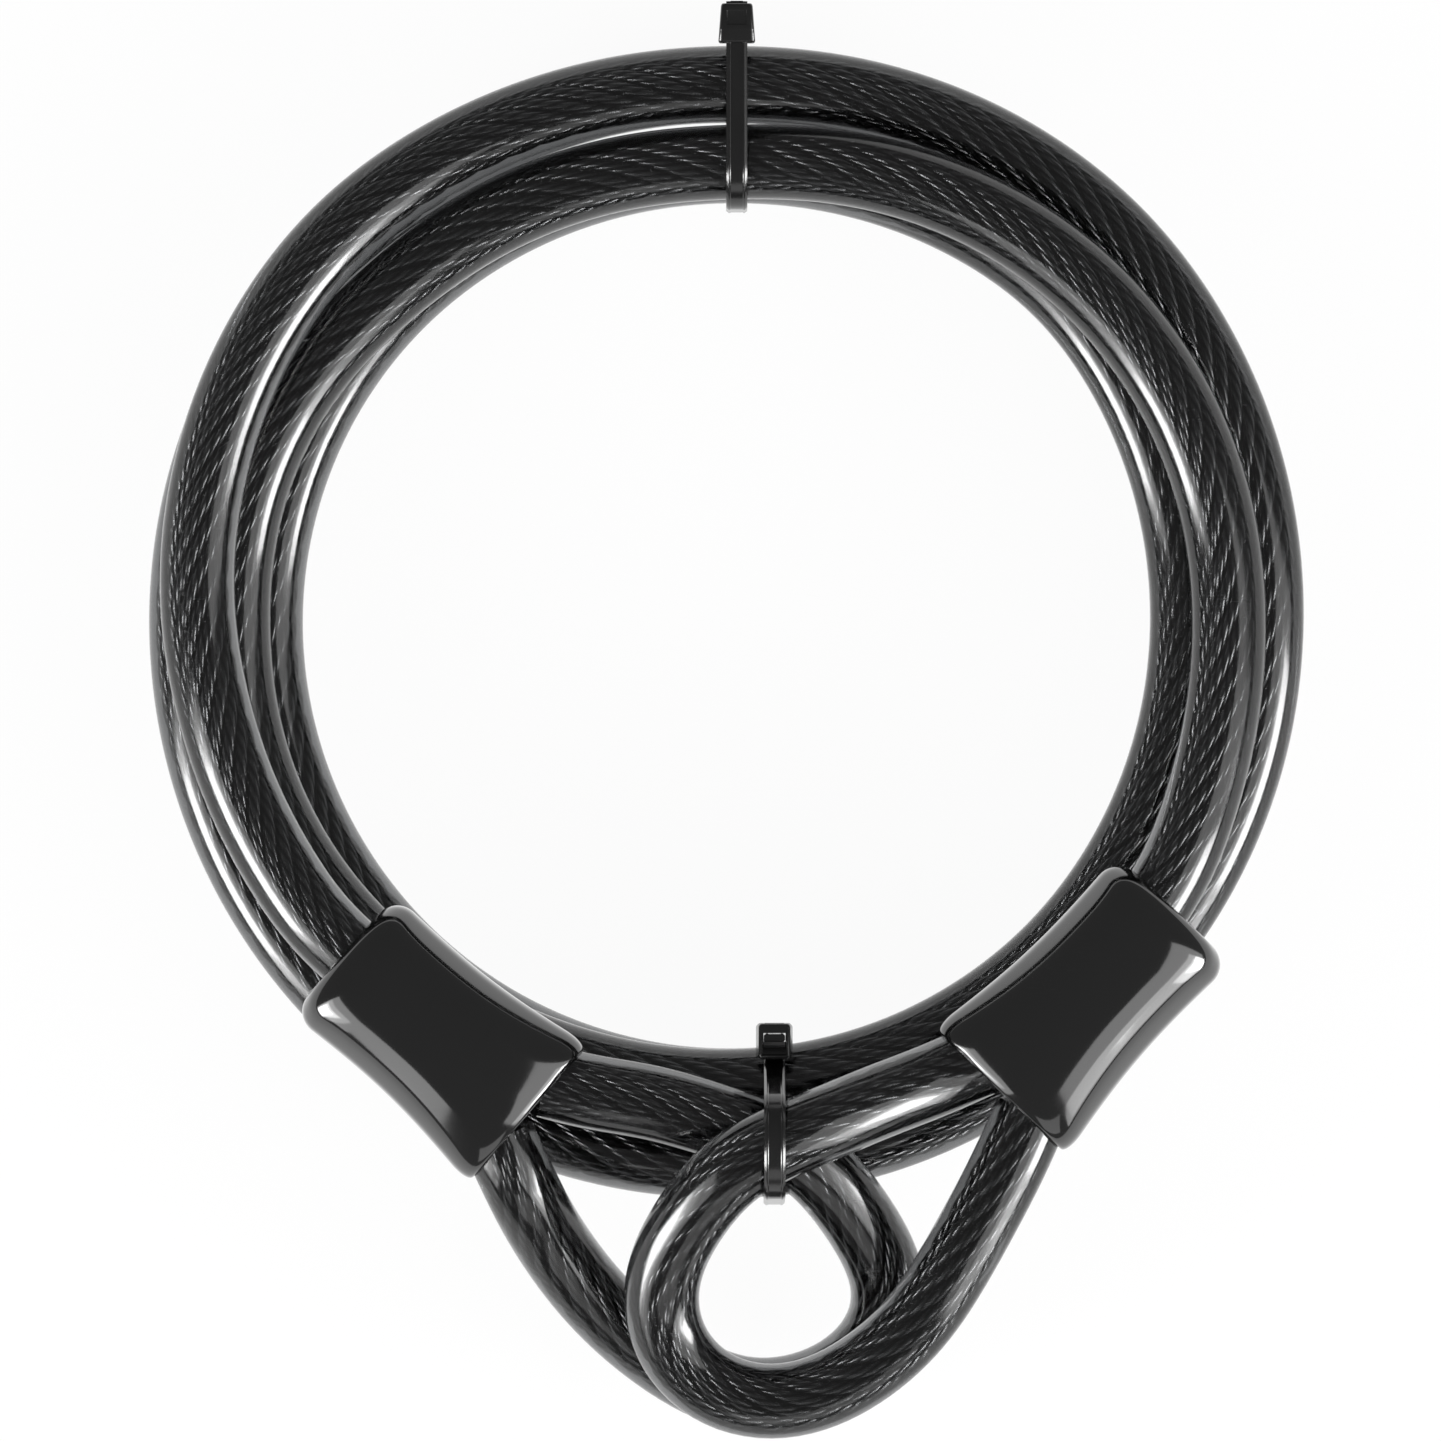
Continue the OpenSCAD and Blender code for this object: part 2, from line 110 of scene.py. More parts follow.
def held(items: Sequence[Points], k: int) -> Points:
    """The item at k, or the nearest one that the sequence has."""
    return items[min(max(k, 0), len(items) - 1)]


def through(points: Sequence[Points], steps: int) -> list[Points]:
    """Points of a smooth curve through all the given ones.

    Args:
        points: The points that it passes.
        steps: How many spans take the place of each given one.

    Returns:
        The denser list, with the first and last points kept.
    """
    dense = [
        cubic(held(points, k - 1), points[k], points[k + 1], held(points, k + 2), s / steps)
        for k in range(len(points) - 1)
        for s in range(steps)
    ]
    return dense + [points[-1]]


def rounded_route(points: Sequence[Points], steps: int = 10) -> Points:
    """A smooth curve through unevenly spaced points, by the centripetal rule.

    Args:
        points: The points that it passes.
        steps: How many points each span gets.

    Returns:
        The curve's points as rows.
    """
    p = np.array(points)
    p = np.vstack([2 * p[0] - p[1], p, 2 * p[-1] - p[-2]])
    gap = np.sqrt(np.linalg.norm(np.diff(p, axis=0), axis=1))
    knots = np.concatenate([[0.0], np.cumsum(gap)])
    rows: list[Points] = []
    for k in range(1, len(p) - 2):
        t0, t1, t2, t3 = knots[k - 1 : k + 3]
        for t in np.linspace(t1, t2, steps, endpoint=False):
            a1 = ((t1 - t) * p[k - 1] + (t - t0) * p[k]) / (t1 - t0)
            a2 = ((t2 - t) * p[k] + (t - t1) * p[k + 1]) / (t2 - t1)
            a3 = ((t3 - t) * p[k + 1] + (t - t2) * p[k + 2]) / (t3 - t2)
            b1 = ((t2 - t) * a1 + (t - t0) * a2) / (t2 - t0)
            b2 = ((t3 - t) * a2 + (t - t1) * a3) / (t3 - t1)
            rows.append(((t2 - t) * b1 + (t - t1) * b2) / (t2 - t1))
    rows.append(p[-2])
    return np.array(rows)


def even_route(points: Points, step: float) -> Points:
    """The same route with its points an even distance apart.

    Args:
        points: The route.
        step: The distance wanted.

    Returns:
        The new points, from end to end.
    """
    along = np.concatenate([[0.0], np.cumsum(np.linalg.norm(np.diff(points, axis=0), axis=1))])
    places = np.linspace(0, along[-1], max(2, round(along[-1] / step) + 1))
    return np.column_stack([np.interp(places, along, points[:, axis]) for axis in range(3)])


def relaxed(points: Points, reach: float) -> Points:
    """The same route without its small kinks, which a stiff cable wouldn't have.

    The second pass gives back what the first one takes from the bends, so that the route keeps
    its place. Both ends stay where they are.

    Args:
        points: Evenly spaced points.
        reach: The spread of the bell-shaped average.

    Returns:
        As many points.
    """
    step = np.linalg.norm(points[1] - points[0])
    span = min(int(BELL_REACHES * reach / step), len(points) - 1)
    bell = np.exp(-0.5 * (np.arange(-span, span + 1) * step / reach) ** 2)
    bell /= bell.sum()

    def average(rows: Points) -> Points:
        """The bell-shaped average along the route, mirrored through its ends.

        Args:
            rows: A point or a shift at each of the route's points.

        Returns:
            As many rows.
        """
        head = 2 * rows[0] - rows[span:0:-1]
        tail = 2 * rows[-1] - rows[-2 : -span - 2 : -1]
        long = np.vstack([head, rows, tail])
        return np.column_stack([np.convolve(long[:, k], bell, "valid") for k in range(3)])

    once = average(points)
    return once + average(points - once)


# -------- Where the cable runs --------


class End(Enum):
    """The two ends of the cable, each with its cover and eye."""

    LEFT = "left"
    RIGHT = "right"


@dataclass(frozen=True)
class Mount:
    """Where a cover sits on the coil, about the coil's centre.

    The mouth is the middle of its coil end. A positive side has the coil's inside at the left of
    the heading. The cable enters the mouth shifted and tilted, and the eye's legs splay.
    """

    mouth: Triple
    turn: float
    side: int
    shift: float
    tilt: float
    length: float
    splay: float
    coil_depth: float = 5 * MM
    leg_depth: float = 1.2 * MM
    leg_offset: float = 5.9 * MM
    pocket_web: float = 1.5 * MM

    def place(self, along: float, across: float) -> Points:
        """A point at the cover's middle height.

        Args:
            along: The distance from the mouth along the heading.
            across: The distance towards the coil's inside.

        Returns:
            The point, about the coil's centre.
        """
        return (
            np.array(self.mouth)
            + along * heading(self.turn)
            + across * self.side * heading(self.turn + 90)
        )

    def cable_line(self, along: float) -> Points:
        """A point on the tilted line that the coil's cable follows in the mouth."""
        return self.place(0, self.shift) + along * heading(self.turn + self.tilt)

    def leg_turn(self, side: int) -> float:
        """The heading of an eye's leg, 1 for the leg at the coil's inside and -1 for the other."""
        return self.turn + side * self.side * self.splay

    def leg_line(self, side: int, along: float) -> Points:
        """A point on the straight line of an eye's leg, from inside the cover outwards."""
        start = self.place(self.length - self.leg_depth, side * self.leg_offset)
        return start + along * heading(self.leg_turn(side))

    def pocket_end(self) -> float:
        """Where the ferrule's pocket ends, from the mouth."""
        return self.length - self.leg_depth - self.pocket_web


@dataclass(frozen=True)
class CableLayout:
    """The route of the whole cable: the coil, its two covers and its two eyes."""

    diameter: float = 12 * MM
    rope_diameter: float = 6.4 * MM
    coil_at: Triple = (0.45 * MM, 15.42 * MM, 0.0)
    floor_lane: float = 4.8 * MM
    first_angle: float = 202.5
    station_step: float = 22.5
    ring_step: float = 15.0
    end_run: float = 12 * MM
    leg_share: float = 0.6
    mouth_run: float = 1 * MM
    rope_pitch: float = 7.2 * MM
    ferrule_length: float = 18 * MM
    ferrule_past: float = 0.5 * MM
    rope_bend: float = 4 * MM
    rope_knot_step: float = 3 * MM
    rope_steps: int = 4
    route_step: float = 1 * MM
    ease: float = 8 * MM
    eye_ease: float = 6.5 * MM
    strap_rises: tuple[Pair, ...] = ((90.0, 3.3 * MM), (277.5, 3.7 * MM))
    rise_reach: float = 26.0
    # A station every 22.5 degrees, clockwise from the left cover: lane radius and height in mm
    stations: tuple[Pair, ...] = (
        (81.9, 24.6), (84.5, 23.2), (86.7, 22.0), (88.0, 17.7), (87.0, 15.0), (86.4, 12.7),
        (87.5, 12.8), (88.1, 11.6), (87.2, 11.0), (86.4, 10.9), (86.0, 9.0), (85.5, 7.2),
        (86.0, 5.3), (86.4, 4.4), (86.9, 2.6), (87.1, 1.0), (87.2, 0.0), (87.3, 0.0),
        (87.4, 0.0), (87.1, 0.0), (86.8, 0.0), (86.5, 0.0), (85.6, 0.0), (83.0, 0.0),
        (81.0, 0.0), (80.0, 0.0), (77.0, 0.0), (75.0, 0.0), (74.5, 0.0), (74.4, 0.0),
        (74.4, 0.0), (74.4, 0.0), (74.4, 0.0), (74.5, 0.0), (74.5, 0.0), (74.3, 0.0),
        (73.8, 0.0), (73.6, 0.0), (74.4, 6.8), (75.6, 10.2), (74.4, 10.7), (73.7, 10.9),
        (73.6, 12.1), (74.0, 12.6), (74.1, 12.6), (74.2, 12.6), (75.0, 12.6), (77.0, 12.5),
        (79.0, 11.8), (79.3, 11.7), (79.2, 11.7), (76.0, 12.6), (74.6, 12.7), (73.7, 13.0),
        (76.2, 19.5), (78.6, 22.4), (80.0, 22.2), (80.0, 22.4), (80.6, 25.6),
    )
    mounts: dict[End, Mount] = field(
        default_factory=lambda: {
            End.LEFT: Mount(
                mouth=(-60.3 * MM, -53.8 * MM, 32 * MM), turn=-40.8, side=1,
                shift=1 * MM, tilt=0.0, length=37.5 * MM, splay=24.0,
            ),
            End.RIGHT: Mount(
                mouth=(70.1 * MM, -46.7 * MM, 33 * MM), turn=-133.7, side=-1,
                shift=3 * MM, tilt=10.0, length=38.7 * MM, splay=21.0,
            ),
        }
    )
    # The points of each eye in mm, from the inner leg to the outer one
    eyes: dict[End, tuple[Triple, ...]] = field(
        default_factory=lambda: {
            End.LEFT: (
                (-12.5, -76.2, 31.6), (-3.4, -79.2, 31.3), (5.1, -81.7, 31.0),
                (13.3, -86.2, 28.0), (21.1, -96.0, 22.5), (25.8, -106.1, 17.5),
                (23.5, -115.4, 13.8), (14.7, -122.2, 12.2), (2.7, -124.0, 12.0),
                (-6.1, -120.5, 12.5), (-14.7, -114.6, 14.5), (-22.9, -106.4, 18.5),
                (-29.8, -96.3, 24.5),
            ),
            End.RIGHT: (
                (24.3, -76.0, 38.2), (11.5, -81.4, 43.6), (2.1, -85.6, 43.6),
                (-4.0, -92.2, 40.0), (-9.0, -100.2, 35.0), (-10.6, -106.9, 31.2),
                (-9.8, -113.3, 28.5), (-5.8, -119.7, 27.0), (0.3, -123.2, 26.5),
                (7.5, -124.5, 26.0), (17.1, -121.9, 27.0), (26.2, -115.5, 28.8),
                (31.2, -110.1, 30.0), (35.7, -103.0, 31.0), (39.5, -96.3, 32.0),
            ),
        }
    )

    def rise(self, angle: float) -> float:
        """How far the lanes rise over the straps.

        Args:
            angle: The angle round the coil, in degrees.

        Returns:
            The rise.
        """
        total = 0.0
        for centre, height in self.strap_rises:
            off = abs((angle - centre + 180) % 360 - 180)
            if off < self.rise_reach:
                total += height * (1 + math.cos(math.pi * off / self.rise_reach)) / 2
        return total

    def coil_point(self, angle: float) -> Points:
        """The cable's centre on the coil.

        Args:
            angle: The angle in degrees, counted on past a full turn.

        Returns:
            The point, about the coil's centre.
        """
        lanes = [np.array(s) * MM for s in self.stations]
        place = (self.first_angle - angle) / self.station_step
        k = min(math.floor(place), len(lanes) - 2)
        radius, level = cubic(
            held(lanes, k - 1), lanes[k], lanes[k + 1], held(lanes, k + 2), place - k
        )
        return radius * heading(angle) + (self.floor_lane + level + self.rise(angle)) * UP

    def rings(self) -> list[Points]:
        """The coil's points, a ring step apart, with one at each end.

        Returns:
            The points, clockwise from the left cover.
        """
        last = self.first_angle - self.station_step * (len(self.stations) - 1)
        count = round((self.first_angle - last) / self.ring_step)
        middles = [self.first_angle - (k + 0.5) * self.ring_step for k in range(count)]
        return [self.coil_point(a) for a in (self.first_angle, *middles, last)]

    def end_line(self, end: End) -> list[Points]:
        """The straight run of the coil's cable in a cover, from its end outwards."""
        m = self.mounts[end]
        return [m.cable_line(m.coil_depth), m.cable_line(m.coil_depth - self.end_run)]

    def coil_knots(self) -> list[Points]:
        """The points that the coil's sheath passes.

        Returns:
            The points, from the left cover to the right one.
        """
        rings = self.rings()
        left, right = self.end_line(End.LEFT), self.end_line(End.RIGHT)
        return [
            *left,
            cubic(rings[1], rings[0], left[1], left[0], 0.5),
            *rings,
            cubic(rings[-2], rings[-1], right[1], right[0], 0.5),
            *reversed(right),
        ]

    def eye_knots(self, end: End) -> list[Points]:
        """The points that an eye's sheath passes.

        Args:
            end: The end of the cable that has the eye.

        Returns:
            The points, from the inner leg to the outer one.
        """
        m = self.mounts[end]
        straight = self.end_run * self.leg_share
        curve = [np.array(p) * MM for p in self.eyes[end]]
        curve = through([m.leg_line(1, straight), *curve, m.leg_line(-1, straight)], 2)
        return [m.leg_line(1, 0), *curve, m.leg_line(-1, 0)]

    def bare_rope(self, end: End, side: int) -> list[Points]:
        """The rope's run through a ferrule.

        Args:
            end: The end of the cable that has the ferrule.
            side: 1 for the run at the coil's inside and -1 for the other.

        Returns:
            Its first and last points, towards the eye.
        """
        m = self.mounts[end]
        start = (m.coil_depth + m.pocket_end() - self.ferrule_length) / 2
        across = side * self.rope_pitch / 2
        return [
            m.place(start - self.ferrule_past, across),
            m.place(start + self.ferrule_length - self.rope_bend, across),
        ]

    def rope_knots(self) -> list[Points]:
        """The points that the wire rope passes.

        Returns:
            The points, from its one cut end to the other.
        """
        left, right = self.mounts[End.LEFT], self.mounts[End.RIGHT]
        step = self.rope_knot_step
        return [
            *self.bare_rope(End.LEFT, -1),
            *even_route(self.eye_route(End.LEFT)[::-1], step),
            *reversed(self.bare_rope(End.LEFT, 1)),
            left.cable_line(left.coil_depth + self.mouth_run),
            *even_route(self.coil_route(), step),
            right.cable_line(right.coil_depth + self.mouth_run),
            *self.bare_rope(End.RIGHT, 1),
            *even_route(self.eye_route(End.RIGHT), step),
            *reversed(self.bare_rope(End.RIGHT, -1)),
        ]

    def coil_route(self) -> Points:
        """The middle line of the coil's sheath, about the coil's centre."""
        return relaxed(even_route(rounded_route(self.coil_knots()), self.route_step), self.ease)

    def eye_route(self, end: End) -> Points:
        """The middle line of an eye's sheath, about the coil's centre."""
        knots = self.eye_knots(end)
        return relaxed(even_route(rounded_route(knots), self.route_step), self.eye_ease)

    def rope_route(self) -> Points:
        """The middle line of the wire rope, about the coil's centre."""
        return even_route(rounded_route(self.rope_knots(), self.rope_steps), self.route_step)

    def in_frame(self, route: Points, step: float) -> Points:
        """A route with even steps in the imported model's frame."""
        return even_route(route, step) + np.array(self.coil_at)


# -------- Node trees --------


def add(tree: Tree, kind: str, inputs: dict[Any, Any] | None = None, **settings: Any) -> Node:
    """Adds one node to a tree.

    Args:
        tree: The shader or geometry tree.
        kind: The node's type.
        inputs: A value or another node's socket for each input, by its name or place.
        settings: The node's own properties.

    Returns:
        The node.
    """
    node = tree.nodes.new(kind)
    for name, value in settings.items():
        setattr(node, name, value)
    for key, value in (inputs or {}).items():
        if isinstance(value, Socket):
            tree.links.new(value, node.inputs[key])
        else:
            node.inputs[key].default_value = value
    return node


def first(tree: Tree, kind: str, inputs: dict[Any, Any] | None = None, **settings: Any) -> Socket:
    """The first output of a new node, whose values are those of add."""
    return add(tree, kind, inputs, **settings).outputs[0]


def calc(tree: Tree, operation: str, *values: Any) -> Socket:
    """The result of one Math node in a shader or geometry tree."""
    return first(tree, "ShaderNodeMath", dict(enumerate(values)), operation=operation)


def vec(tree: Tree, operation: str, *values: Any) -> Socket:
    """The vector result of one Vector Math node in a shader or geometry tree."""
    inputs = {3 if operation == "SCALE" and k == 1 else k: v for k, v in enumerate(values)}
    return first(tree, "ShaderNodeVectorMath", inputs, operation=operation)


def combined(tree: Tree, **axes: Any) -> Socket:
    """The vector of some X, Y and Z values."""
    return first(tree, "ShaderNodeCombineXYZ", axes)


def noise(tree: Tree, vector: Socket, scale: Any, detail: float, distortion: float = 0.0) -> Socket:
    """The value of a noise texture."""
    inputs = {"Vector": vector, "Scale": scale, "Detail": detail, "Distortion": distortion}
    return first(tree, "ShaderNodeTexNoise", inputs)


def ranged(tree: Tree, value: Socket, source: Pair = (0.0, 1.0), target: Pair = (0.0, 1.0)) -> Socket:
    """A value carried from one range to another, and held inside it."""
    inputs = {"Value": value, 1: source[0], 2: source[1], 3: target[0], 4: target[1]}
    return first(tree, "ShaderNodeMapRange", inputs)


def mesh_vector(tree: Tree, name: str) -> Socket:
    """A vector that a material reads from its mesh."""
    return add(tree, "ShaderNodeAttribute", attribute_name=name).outputs["Vector"]


def store(tree: Tree, geometry: Socket, name: str, value: Socket, kind: str = "FLOAT") -> Socket:
    """The geometry with a value stored on each of its points."""
    inputs = {"Geometry": geometry, "Name": name, "Value": value}
    return first(tree, "GeometryNodeStoreNamedAttribute", inputs, data_type=kind)


def recall(tree: Tree, name: str, kind: str = "FLOAT") -> Socket:
    """A value that a geometry tree has stored before."""
    return first(tree, "GeometryNodeInputNamedAttribute", {"Name": name}, data_type=kind)


class Recipe:
    """A Geometry Nodes tree that takes a line and gives one finished mesh."""

    def __init__(self, name: str, sizes: dict[str, float | int]) -> None:
        """Makes the tree with its geometry and size inputs.

        Args:
            name: The tree's name.
            sizes: The named inputs and their values.
        """
        self.tree = bpy.data.node_groups.new(name, "GeometryNodeTree")
        face = self.tree.interface
        face.new_socket("Geometry", in_out="INPUT", socket_type="NodeSocketGeometry")
        face.new_socket("Geometry", in_out="OUTPUT", socket_type="NodeSocketGeometry")
        self.sizes = sizes
        self.keys: dict[str, str] = {}
        for label, value in sizes.items():
            kind = "NodeSocketInt" if isinstance(value, int) else "NodeSocketFloat"
            socket = face.new_socket(label, in_out="INPUT", socket_type=kind)
            self.keys[label] = socket.identifier
        finish = face.new_socket("Finish", in_out="INPUT", socket_type="NodeSocketMaterial")
        self.keys["Finish"] = finish.identifier
        self.start = add(self.tree, "NodeGroupInput")
        self.line = first(self.tree, "GeometryNodeMeshToCurve", {"Mesh": self.start.outputs[0]})

    def size(self, label: str) -> Socket:
        """The socket of a named input."""
        return self.start.outputs[label]

    def upright_line(self) -> Socket:
        """The line as a curve that doesn't roll."""
        return first(self.tree, "GeometryNodeSetCurveNormal", {"Curve": self.line}, mode="Z_UP")

    def tube(self, curve: Socket, name: str) -> Socket:
        """Draws a tube of the recipe's Radius and Sides along a curve.

        Args:
            curve: The curve.
            name: The name of the vector that stores each point's place on the tube: across its
                outline, and along its run.

        Returns:
            The tube's mesh.
        """
        tree = self.tree
        run = add(tree, "GeometryNodeSplineParameter").outputs["Length"]
        circle = first(
            tree,
            "GeometryNodeCurvePrimitiveCircle",
            {"Resolution": self.size("Sides"), "Radius": self.size("Radius")},
        )
        place = first(tree, "GeometryNodeInputPosition")
        tube = first(
            tree,
            "GeometryNodeCurveToMesh",
            {
                "Curve": store(tree, curve, "run", run),
                "Profile Curve": store(tree, circle, "outline", place, "FLOAT_VECTOR"),
                "Fill Caps": True,
            },
        )
        along = combined(tree, Z=recall(tree, "run"))
        across = recall(tree, "outline", "FLOAT_VECTOR")
        return store(tree, tube, name, vec(tree, "ADD", across, along), "FLOAT_VECTOR")

    def end_with(self, geometry: Socket, smooth: bool = False) -> None:
        """Ends the tree with a geometry, realized and with the finish on it.

        Args:
            geometry: The geometry.
            smooth: Whether it is shaded smooth.
        """
        tree = self.tree
        if smooth:
            geometry = first(tree, "GeometryNodeSetShadeSmooth", {"Geometry": geometry})
        real = first(tree, "GeometryNodeRealizeInstances", {"Geometry": geometry})
        inputs = {"Geometry": real, "Material": self.size("Finish")}
        dressed = first(tree, "GeometryNodeSetMaterial", inputs)
        add(tree, "NodeGroupOutput", {"Geometry": dressed})

    def cook(self, name: str, route: Points, finish: Material) -> Piece:
        """Runs the tree on a line and keeps the result as a plain object.

        Args:
            name: The new piece's name.
            route: The points of the line that the tree reads.
            finish: The material of the result.

        Returns:
            The piece, at the origin.
        """
        line = bpy.data.meshes.new(name + "_line")
        line.from_pydata(route.tolist(), [(k, k + 1) for k in range(len(route) - 1)], [])
        source = linked(name + "_source", line)
        modifier = source.modifiers.new("recipe", "NODES")
        modifier.node_group = self.tree
        for label, value in self.sizes.items():
            modifier[self.keys[label]] = value
        modifier[self.keys["Finish"]] = finish
        return placed(name, outward(baked(source)), finish)


# -------- Meshes --------


def linked(name: str, mesh: Mesh) -> Piece:
    """Links a mesh into the scene as an object.

    Args:
        name: The object's name.
        mesh: Its mesh.

    Returns:
        The object.
    """
    piece = bpy.data.objects.new(name, mesh)
    bpy.context.scene.collection.objects.link(piece)
    return piece


def placed(name: str, mesh: Mesh, finish: Material) -> Piece:
    """Links a mesh into the scene as a piece with one finish.

    Args:
        name: The piece's name.
        mesh: Its mesh.
        finish: Its material.

    Returns:
        The piece.
    """
    mesh.materials.clear()
    mesh.materials.append(finish)
    return linked(name, mesh)


def baked(source: Piece) -> Mesh:
    """Turns an object with modifiers into the mesh that they make of it.

    Args:
        source: The object, which is removed.

    Returns:
        The mesh.
    """
    bpy.context.view_layer.update()
    graph = bpy.context.evaluated_depsgraph_get()
    mesh = bpy.data.meshes.new_from_object(
        source.evaluated_get(graph), preserve_all_data_layers=True, depsgraph=graph
    )
    source.modifiers.clear()
    bpy.data.objects.remove(source)
    return mesh


def outward(mesh: Mesh) -> Mesh:
    """Turns the faces of a closed mesh outwards, if they point in.

    Args:
        mesh: The mesh, which is changed.

    Returns:
        The same mesh.
    """
    shape = bmesh.new()
    shape.from_mesh(mesh)
    if shape.calc_volume(signed=True) < 0:
        bmesh.ops.reverse_faces(shape, faces=shape.faces)
        shape.to_mesh(mesh)
    shape.free()
    return mesh


def skinned(name: str, loops: Sequence[Points]) -> Mesh:
    """A closed mesh over loops of equal length, with a flat face at each end.

    Args:
        name: The mesh's name.
        loops: Each loop's points as rows, in order along the body.

    Returns:
        The mesh, with its faces outwards.
    """
    n = len(loops[0])
    points = np.vstack(loops)
    faces = [
        (k * n + s, k * n + (s + 1) % n, (k + 1) * n + (s + 1) % n, (k + 1) * n + s)
        for k in range(len(loops) - 1)
        for s in range(n)
    ]
    faces += [tuple(range(n - 1, -1, -1)), tuple(range(len(points) - n, len(points)))]
    mesh = bpy.data.meshes.new(name)
    mesh.from_pydata(points.tolist(), [], faces)
    return outward(mesh)


def smooth_by_angle(mesh: Mesh, degrees: float) -> None:
    """Shades a mesh smooth and keeps the edges sharper than an angle."""
    mesh.shade_smooth()
    mesh.set_sharp_from_angle(angle=math.radians(degrees))


def stadium(radius: float, pitch: float, sides: int = 24) -> Points:
    """The outline round two circles side by side.

    Args:
        radius: The circles' radius.
        pitch: The distance between their middles.
        sides: How many sides their two outer halves have together.

    Returns:
        The outline's points as rows of two.
    """
    arc = np.radians(np.linspace(-90, 90, sides // 2 + 1))
    right = np.column_stack([pitch / 2 + radius * np.cos(arc), radius * np.sin(arc)])
    return np.vstack([right, -right])


def disc(radius: float, sides: int = 48) -> Points:
    """A circle's outline as rows of two."""
    turn = np.arange(sides) * FULL_TURN / sides
    return radius * np.column_stack([np.cos(turn), np.sin(turn)])


def oblong(half: float, levels: Pair) -> Points:
    """An oblong's outline as rows of two, from its half width and its two levels."""
    low, high = levels
    return np.array([(-half, low), (half, low), (half, high), (-half, high)])


def bar(name: str, outline: Points, start: Points, axes: Sequence[Points], run: Pair) -> Piece:
    """A straight bar, to be cut out of another body.

    Args:
        name: The object's name.
        outline: Its cross-section as rows of width and height.
        start: The point that its run is counted from.
        axes: The unit vectors of its width, its height and its run.
        run: Where it starts and ends along its run.

    Returns:
        The object.
    """
    across, up, ahead = axes
    loops = [np.array([start + x * across + y * up + d * ahead for x, y in outline]) for d in run]
    return linked(name, skinned(name, loops))


def sleeve(name: str, route: Points, back: float, radius: float) -> Piece:
    """A round bar along a route, to be cut out of another body.

    Args:
        name: The object's name.
        route: The route's points.
        back: How far it starts before the route does.
        radius: Its radius.

    Returns:
        The object.
    """
    ahead = np.gradient(route, axis=0)
    ahead /= np.linalg.norm(ahead, axis=1)[:, None]
    middles = np.vstack([route[0] - back * ahead[0], route])
    circle = disc(radius)
    loops = []
    for middle, along in zip(middles, np.vstack([ahead[0], ahead])):
        across = np.cross(UP, along)
        across /= np.linalg.norm(across)
        loops.append(middle + circle[:, :1] * across + circle[:, 1:] * np.cross(along, across))
    return linked(name, skinned(name, loops))


def carve(body: Mesh, tools: Sequence[Piece], edge: float = 0.0) -> Mesh:
    """Cuts tools out of a body, then breaks the sharp edges.

    Args:
        body: The mesh to cut.
        tools: The objects to take away, which are removed afterwards.
        edge: The width of the broken edges, or 0 for none.

    Returns:
        The cut mesh.
    """
    source = linked("blank", body)
    for tool in tools:
        cut = source.modifiers.new(tool.name, "BOOLEAN")
        cut.operation, cut.solver, cut.object = "DIFFERENCE", "EXACT", tool
    if edge:
        bevel = source.modifiers.new("edges", "BEVEL")
        bevel.width, bevel.segments, bevel.limit_method = edge, EDGE_SEGMENTS, "ANGLE"
        bevel.angle_limit = math.radians(EDGE_ANGLE)
        bevel.harden_normals = False
    source.modifiers.new("normals", "WEIGHTED_NORMAL").keep_sharp = True
    mesh = baked(source)
    for tool in tools:
        bpy.data.objects.remove(tool)
    return mesh


# -------- Finishes --------


def grey(value: float, warmth: float = 0.0) -> Colour:
    """A neutral colour, a little warmer or, below 0, cooler."""
    return (value * (1 + warmth), value, value * (1 - warmth), 1.0)


class SurfaceGrain:
    """A shader group for the fine unevenness and handling marks of a moulded surface."""

    cloud_detail: float = 3.0
    fine_detail: float = 2.0
    scratch_stretch: Triple = (1.0, 9.0, 3.0)
    scratch_scale: float = 420.0
    scratch_bend: float = 0.6
    scratch_range: Pair = (0.62, 0.72)
    patch_range: Pair = (0.5, 0.7)
    _group: Tree | None = None

    @classmethod
    def group(cls) -> Tree:
        """The group, built the first time that it is asked for.

        Returns:
            The group.
        """
        if cls._group is None:
            cls._group = cls._build()
        return cls._group

    @classmethod
    def _build(cls) -> Tree:
        """Builds the group: broad clouds, fine grain and thin scuffs from one vector.

        Returns:
            The group.
        """
        tree = bpy.data.node_groups.new("surface_grain", "ShaderNodeTree")
        face = tree.interface
        face.new_socket("Vector", in_out="INPUT", socket_type="NodeSocketVector")
        for label in ("Cloud Scale", "Grain Scale", "Scuff"):
            face.new_socket(label, in_out="INPUT", socket_type="NodeSocketFloat")
        for label in ("Cloud", "Grain", "Scuffs"):
            face.new_socket(label, in_out="OUTPUT", socket_type="NodeSocketFloat")
        start = add(tree, "NodeGroupInput").outputs
        cloud = noise(tree, start["Vector"], start["Cloud Scale"], cls.cloud_detail)
        grain = noise(tree, start["Vector"], start["Grain Scale"], cls.fine_detail)
        stretched = vec(tree, "MULTIPLY", start["Vector"], cls.scratch_stretch)
        scratch = noise(tree, stretched, cls.scratch_scale, cls.fine_detail, cls.scratch_bend)
        thin, patch = ranged(tree, scratch, cls.scratch_range), ranged(tree, cloud, cls.patch_range)
        scuffs = calc(tree, "MULTIPLY", calc(tree, "MULTIPLY", thin, patch), start["Scuff"])
        add(tree, "NodeGroupOutput", {"Cloud": cloud, "Grain": grain, "Scuffs": scuffs})
        return tree


